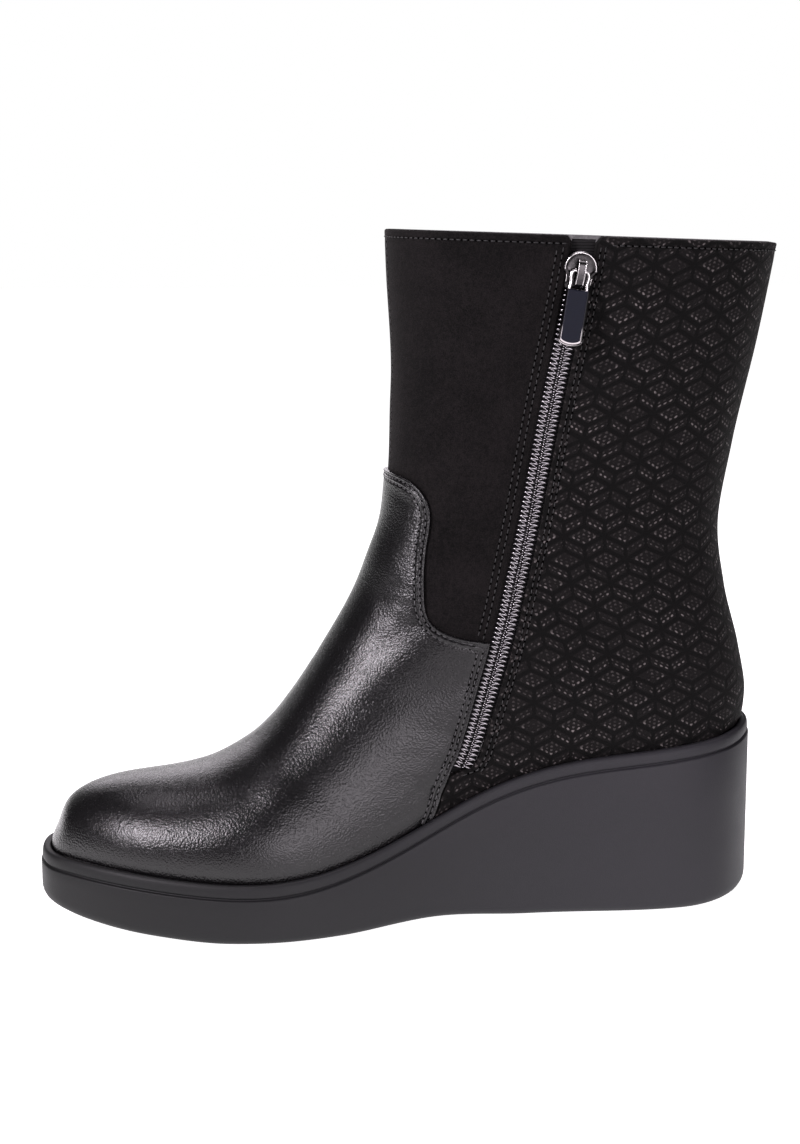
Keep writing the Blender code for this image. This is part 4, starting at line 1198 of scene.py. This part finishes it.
scuff = noise(tree, place, 0.8, 2.0)
feed(tree, shader, Base_Color=tree.blend(scuff, (0.22, 0.21, 0.22), (0.42, 0.40, 0.42)),
     Metallic=0.92, Roughness=scuff * 0.12 + 0.17)
BEAD = 0.25
for k in range(int((length - 1.2) / (PITCH / 2))):
    along = 0.8 + k * PITCH / 2
    path = on_zip(np.linspace(-0.26, 0.26, 5), np.full(5, along) + np.linspace(-0.1, 0.1, 5),
                  0.42 - 0.14 * np.linspace(-1, 1, 5) ** 2)
    points, faces = tube(path, BEAD * mm * np.array([0.5, 0.95, 1.1, 0.95, 0.5]), 6)
    coil_points.append(points)
    coil_faces += [tuple(v + start for v in f) for f in faces]
    start += len(points)
coil = add_piece("zip_coil", np.vstack(coil_points), coil_faces, plastic)
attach(coil, "boot")
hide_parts("zip_chain")


# Stitches: rows of black thread, each stitch lying between its two holes; each hole is shown by a
# flat dark disc of painted shade.
STITCH = 1.70
STITCH_GAP = 0.65
THREAD = 0.22


def stitch_row(name, lines, lift, finish):
    """Stitches along runs of points with their outward directions, and dark discs of painted shade
    at their holes.
    """
    parts = {name: ([], []), name + "_holes": ([], [])}

    def add(key, points, faces):
        start = sum(len(p) for p in parts[key][0])
        parts[key][0].append(points)
        parts[key][1].extend(tuple(v + start for v in face) for face in faces)

    for points, outs in lines:
        steps = np.concatenate([[0], np.cumsum(np.linalg.norm(np.diff(points, axis=0), axis=1))])
        if steps[-1] < 4 * mm:
            continue

        def at_run(at):
            path = np.stack([np.interp(at, steps, points[:, n]) for n in range(3)], axis=1)
            out = np.stack([np.interp(at, steps, outs[:, n]) for n in range(3)], axis=1)
            return path, out

        for k in range(int(steps[-1] / ((STITCH + STITCH_GAP) * mm))):
            begin = k * (STITCH + STITCH_GAP)
            share = np.linspace(-1, 1, 5)
            path, out = at_run((begin + (share + 1) / 2 * STITCH) * mm)
            path += out * (lift + 0.14 * (1 - share ** 2) - 0.14)[:, None] * mm
            radii = THREAD * mm * np.array([0.45, 0.95, 1.0, 0.95, 0.45])
            add(name, *tube(path, radii, 5))
            # A flat dark disc just over each hole: painted shade for the inside of the needle hole.
            ends, out = at_run(np.array([begin - STITCH_GAP * 0.7, begin - STITCH_GAP * 0.3]) * mm)
            middle, normal = ends.mean(axis=0), out[0]
            run_ = ends[1] - ends[0]
            run_ /= max(np.linalg.norm(run_), 1e-12)
            cross = np.cross(normal, run_)
            angle = np.linspace(0, 2 * math.pi, 6, endpoint=False)
            ring = middle + (lift + 0.06) * mm * normal + 0.36 * mm * (
                np.cos(angle)[:, None] * run_ + np.sin(angle)[:, None] * cross)
            add(name + "_holes", ring, [tuple(range(6))])
    for key, material in ((name, finish), (name + "_holes", hole_painted_shade)):
        piece = add_piece(key, np.vstack(parts[key][0]), parts[key][1], material)
        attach(piece, "boot")


# Near black, matt and without gloss: the painted shade of the stitch holes.
hole_painted_shade, tree, shader, place = new_finish("painted_shade_stitch_hole")
shade_ = noise(tree, place, 0.3)
feed(tree, shader, Base_Color=tree.blend(shade_, (0.0002, 0.0002, 0.0002), (0.001, 0.001, 0.001)),
     Roughness=1.0, Specular_IOR_Level=0.0)
# The same black thread, made lighter on the vamp as a painted highlight where its stitches catch the
# light.
vamp_thread_painted_highlight, tree, shader, place = new_finish("vamp_thread_painted_highlight")
twist = noise(tree, place, 0.35, 2.0)
feed(tree, shader, Base_Color=tree.blend(twist, (0.020, 0.019, 0.021), (0.060, 0.057, 0.060)),
     Roughness=0.38, Normal=bump(tree, twist, 0.08), Specular_IOR_Level=0.6)
thread, tree, shader, place = new_finish("waxed_thread")
twist = noise(tree, place, 0.35, 2.0)
feed(tree, shader, Base_Color=tree.blend(twist, (0.007, 0.007, 0.0075), (0.022, 0.021, 0.021)),
     Roughness=0.5, Normal=bump(tree, twist, 0.08), Specular_IOR_Level=0.4)


def field_rows(field, levels, keep, lift):
    """Runs of points along levels of a field where the keep field is above nought."""
    section, turn, depth, deep, faces, runs = panel_mesh(
        field, [], (6, 8), 100, levels, False)
    points = place_on_last(section, turn, np.full(len(section), lift))
    outs = last_normal(section, np.clip(turn, -1, 1))
    good = keep(section, turn) > 0
    lines = []
    for group in runs:
        for run_ in group:
            piece_, sets = [], []
            for v in run_ + [None]:
                if v is not None and good[v]:
                    piece_.append(v)
                elif piece_:
                    sets.append(piece_)
                    piece_ = []
            lines += [(points[s], outs[s]) for s in sets if len(s) > 3]
    return lines


def front_edge(section, turn):
    f = side_fields(section, turn)
    return np.where(f["inner"], f["front"], -1.0)


def front_keep(section, turn):
    f = side_fields(section, turn)
    return np.minimum(f["collar"] - 1.2 * mm, -f["top"] - 0.2 * mm)


def back_edge(section, turn):
    return side_fields(section, turn)["back"]


def back_keep(section, turn):
    f = side_fields(section, turn)
    low_side = np.where(f["inner"], f["z"] - (ZIP_END * FRONT_HEIGHT - 2 * mm), 1.0)
    return np.minimum(f["collar"] - 1.2 * mm, low_side)


def collar_edge(section, turn):
    return side_fields(section, turn)["collar"]


def on_front(section, turn):
    return side_fields(section, turn)["front"] - 0.8 * mm


def on_back(section, turn):
    return side_fields(section, turn)["back"] - 0.8 * mm


def vamp_keep(section, turn):
    return vamp_field(section, turn) - 0.3 * mm


stitch_row("vamp_stitches", field_rows(row_field, ROWS, vamp_keep, GAP + OVERLAY - 0.10 * mm),
           0.05, vamp_thread_painted_highlight)
stitch_row("shaft_stitches",
           field_rows(front_edge, SHAFT_ROWS, front_keep, 0.0)
           + field_rows(collar_edge, (2.6,), on_front, 0.0), 0.05, thread)
stitch_row("back_stitches",
           field_rows(back_edge, BACK_ROWS, back_keep, GAP + OVERLAY)
           + field_rows(collar_edge, (2.6,), on_back, GAP + OVERLAY), 0.05, thread)

# Slider: a cast body with a round crown, dark nickelled, with thin bars of bright nickel along its
# edges as painted highlight.
# Its plate rides over the coil, and an arch along its middle holds the pull.
PLATE_LOW, PLATE_HIGH = 1.6, 2.8
PIVOT = 3.75
PULL_HANG = math.radians(8)
origin, slide_across, slide_up, slide_out = zip_frame(slider_z)
slider_frame = Matrix.Translation(Vector(origin + SHIFT)) @ Matrix(
    (slide_across, slide_up, slide_out)).transposed().to_4x4()
pull_frame = (slider_frame @ Matrix.Translation(Vector((0, 0.4, PIVOT)) * mm)
              @ Matrix.Rotation(-PULL_HANG, 4, "X"))


def in_frame(matrix, points):
    """Frame points from places in millimetres on the slider or the pull."""
    points = np.asarray(points, float) * mm
    turn = np.array(matrix.to_3x3())
    return points @ turn.T + np.array(matrix.translation)


def inset_outline(outline, inset):
    """A closed outline moved inward."""
    flat = np.asarray(outline, float)
    return flat - inset * outward_of(flat) if inset else flat


def slab(outline, levels, matrix):
    """A plate with bevelled edges: levels give the inset and the height of each ring."""
    rings_ = [np.column_stack([inset_outline(outline, inset), np.full(len(outline), z)])
              for inset, z in levels]
    count = len(outline)
    faces = [(r * count + i, r * count + (i + 1) % count,
              (r + 1) * count + (i + 1) % count, (r + 1) * count + i)
             for r in range(len(levels) - 1) for i in range(count)]
    faces.append(tuple(range(count))[::-1])
    faces.append(tuple((len(levels) - 1) * count + i for i in range(count)))
    return in_frame(matrix, np.vstack(rings_)), faces


def smooth_outline(corners, count=72):
    """A closed curve through the corners, counterclockwise."""
    corners = np.asarray(corners, float)
    loop = np.vstack([corners, corners[:1]])
    run_ = np.concatenate([[0.0], np.cumsum(np.linalg.norm(np.diff(loop, axis=0), axis=1))])
    return spline(run_, loop, np.linspace(0, run_[-1], count + 1), closed=True)[:-1]


def joined(*parts):
    """Several lots of points and faces as one."""
    points, faces, start = [], [], 0
    for p, f in parts:
        points.append(p)
        faces += [tuple(v + start for v in face) for face in f]
        start += len(p)
    return np.vstack(points), faces


metal, tree, shader, place = new_finish("dark_nickel")
rub = noise(tree, place, 1.0, 3.0)
feed(tree, shader, Base_Color=tree.blend(rub, (0.035, 0.033, 0.034), (0.085, 0.082, 0.082)),
     Metallic=1.0, Roughness=rub * 0.16 + 0.20)
# A bright copy of the nickel: the pull loop's metal, and on the slider's edges a painted highlight
# where the bevels catch the light.
bright, tree, shader, place = new_finish("bright_nickel_and_painted_edge_highlight")
rub = noise(tree, place, 0.8, 3.0)
feed(tree, shader, Base_Color=tree.blend(rub, (0.55, 0.53, 0.53), (0.80, 0.78, 0.77)),
     Metallic=1.0, Roughness=rub * 0.14 + 0.16)

half_plate = [(0.0, 6.9), (2.4, 6.4), (4.5, 4.6), (5.5, 2.0), (5.35, 0.5), (4.55, -0.6),
              (4.15, -2.2), (4.2, -4.6), (3.7, -5.65), (2.0, -5.75)]
plate_line = [(-x_, y_) for x_, y_ in half_plate[1:]] + [(x_, y_) for x_, y_ in half_plate[::-1]]
plate_line = smooth_outline(plate_line)
if np.sum(plate_line[:, 0] * np.roll(plate_line[:, 1], -1)
          - plate_line[:, 1] * np.roll(plate_line[:, 0], -1)) < 0:
    plate_line = plate_line[::-1]
plate = slab(plate_line, [(0.5, 1.3), (0.0, 1.7), (0.0, 2.35), (0.25, 2.7), (0.7, 2.85),
                          (1.1, 2.62), (1.6, 2.55)], slider_frame)
post_line = smooth_outline([(3.2, 5.2), (-3.2, 5.2), (-3.2, 2.0), (3.2, 2.0)], 24)
post = slab(post_line, [(0.3, -1.4), (0.0, -1.2), (0.0, 2.0), (0.2, 2.2)], slider_frame)
ARCH = ((-4.4, 2.4), (-4.3, 4.4), (-3.6, 5.4), (-2.4, 5.7), (2.2, 5.7), (3.4, 5.4),
        (4.1, 4.5), (4.25, 2.4))
arch_run = np.array(ARCH)
arch_steps = np.concatenate([[0], np.cumsum(np.linalg.norm(np.diff(arch_run, axis=0), axis=1))])
arch_line = spline(arch_steps, arch_run, np.linspace(0, arch_steps[-1], 26))
arch_normal = np.gradient(arch_line, axis=0)
arch_normal /= np.linalg.norm(arch_normal, axis=1, keepdims=True)
arch_normal = np.column_stack([-arch_normal[:, 1], arch_normal[:, 0]])
BAR = ((-1.25, -0.45), (-1.25, 0.15), (-0.98, 0.42), (0.98, 0.42), (1.25, 0.15), (1.25, -0.45))
bar_points = np.array([[(w_, *(p + n * h_)) for w_, h_ in BAR]
                       for p, n in zip(arch_line - 0.42 * arch_normal, arch_normal)])
bar_faces = [(i * 6 + j, i * 6 + (j + 1) % 6, (i + 1) * 6 + (j + 1) % 6, (i + 1) * 6 + j)
             for i in range(25) for j in range(6)]
bar_faces += [tuple(range(6))[::-1], tuple(25 * 6 + j for j in range(6))]
arch = (in_frame(slider_frame, bar_points.reshape(-1, 3)), bar_faces)
body_points, body_faces = joined(plate, post, arch)
slider = add_piece("slider_body", body_points, body_faces, metal)
slider.data.set_sharp_from_angle(angle=math.radians(28))
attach(slider, "boot")
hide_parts("zip_slider")

# Thin bright bars along the crown, the arch and the cheeks: painted highlight on the slider's edges.
crown = [p for p in plate_line if p[1] > 0.4]
crown = sorted(crown, key=lambda p: math.atan2(p[1] - 0.4, p[0]))
crown_path = in_frame(slider_frame, [(p[0] * 0.93, p[1] * 0.93, 2.80) for p in crown])
lines_ = [tube(crown_path, np.full(len(crown_path), 0.22 * mm), 6)]
for hand in (-1, 1):
    edge_path = np.column_stack([np.full(26, hand * 1.16), arch_line])
    lines_.append(tube(in_frame(slider_frame, edge_path), np.full(26, 0.17 * mm), 6))
    cheek = [(hand * 4.45, -0.7, 2.7), (hand * 4.1, -2.2, 2.72), (hand * 4.1, -3.6, 2.7)]
    lines_.append(tube(in_frame(slider_frame, cheek), np.full(3, 0.18 * mm), 6))
rub_points, rub_faces = joined(*lines_)
edges = add_piece("slider_painted_edge_highlights", rub_points, rub_faces, bright)
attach(edges, "boot")

edge_nickel, tree, shader, place = new_finish("tab_edge_nickel")
low_end = in_frame(pull_frame, [(0.0, -22.4, 0.0)])[0]
reach = tree.node("ShaderNodeVectorMath", {"operation": "DISTANCE"},
                  {0: place, 1: Vector(low_end)})["Value"]
feed(tree, shader, Base_Color=tree.blend(reach.rise(4.2 * mm, 6.0 * mm), (0.20, 0.19, 0.19),
                                         (0.012, 0.012, 0.014)),
     Metallic=1.0, Roughness=0.22)

# Pull: a bent wire loop through the arch, and a flat tab, which is enamelled almost black
# inside a bright frame that rounds off its lower end.
LOOP_WIDE, LOOP_LONG, LOOP_WIRE = 5.5, 7.7, 0.60
loop_line = smooth_outline([(2.3, 0.0), (0.0, 0.02), (-2.3, 0.0), (-2.72, -0.5), (-2.72, -4.0),
                            (-2.72, -7.2), (-2.3, -7.7), (0.0, -7.72), (2.3, -7.7),
                            (2.72, -7.2), (2.72, -4.0), (2.72, -0.5)], 60)
loop_3d = in_frame(pull_frame, np.column_stack([loop_line, np.zeros(len(loop_line))]))
loop_3d = np.vstack([loop_3d, loop_3d[:2]])
loop_points, loop_faces = tube(loop_3d, np.full(len(loop_3d), LOOP_WIRE * mm), 10)
loop = add_piece("pull_loop", loop_points, loop_faces, bright)
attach(loop, "pull")
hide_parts("zip_pull")

TAB_TOP, TAB_LOW, TAB_HALF = -5.9, -24.2, 3.75
tab_line = [(TAB_HALF - 0.3, TAB_TOP), (-TAB_HALF + 0.3, TAB_TOP), (-TAB_HALF, TAB_TOP - 0.3),
            (-TAB_HALF, TAB_LOW + 1.5)]
for angle in np.linspace(-70, 70, 15):
    tab_line.append((TAB_HALF * math.sin(math.radians(angle)) / math.sin(math.radians(70)),
                     TAB_LOW + 1.2 * (1 - math.cos(math.radians(angle)))
                     / (1 - math.cos(math.radians(70)))))
tab_line += [(TAB_HALF, TAB_LOW + 1.5), (TAB_HALF, TAB_TOP - 0.3)]
tab_points, tab_faces = slab(tab_line, [(0.35, -1.2), (0.0, -0.85), (0.0, 0.75), (0.4, 1.15)],
                             pull_frame)
rim_path = in_frame(pull_frame, [(x_, y_, 0.95) for x_, y_ in tab_line[3:20]])
tab_points, tab_faces = joined(
    (tab_points, tab_faces), tube(rim_path, np.full(len(rim_path), 0.22 * mm), 8))
tab = add_piece("pull_tab_frame", tab_points, tab_faces, edge_nickel, smooth=False)
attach(tab, "pull")
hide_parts("zip_pull_tab")
enamel, tree, shader, place = new_finish("tab_enamel")
rub = noise(tree, place, 2.5, 3.0)
feed(tree, shader, Base_Color=tree.blend(rub, (0.005, 0.006, 0.011), (0.009, 0.010, 0.017)),
     Roughness=rub * 0.15 + 0.25, Specular_IOR_Level=0.05)
face_line = [(x_ * 0.87, -6.1 + (y_ - TAB_TOP) * 0.945) for x_, y_ in tab_line]
front_face = slab(face_line, [(0.0, 0.6), (0.0, 1.12), (0.25, 1.26)], pull_frame)
rear_face = slab([(-x_, y_) for x_, y_ in face_line][::-1],
                 [(0.25, -1.3), (0.0, -1.16), (0.0, -0.6)], pull_frame)
inlay_points, inlay_faces = joined(front_face, rear_face)
inlay = add_piece("pull_tab_enamel", inlay_points, inlay_faces, enamel, smooth=False)
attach(inlay, "pull")
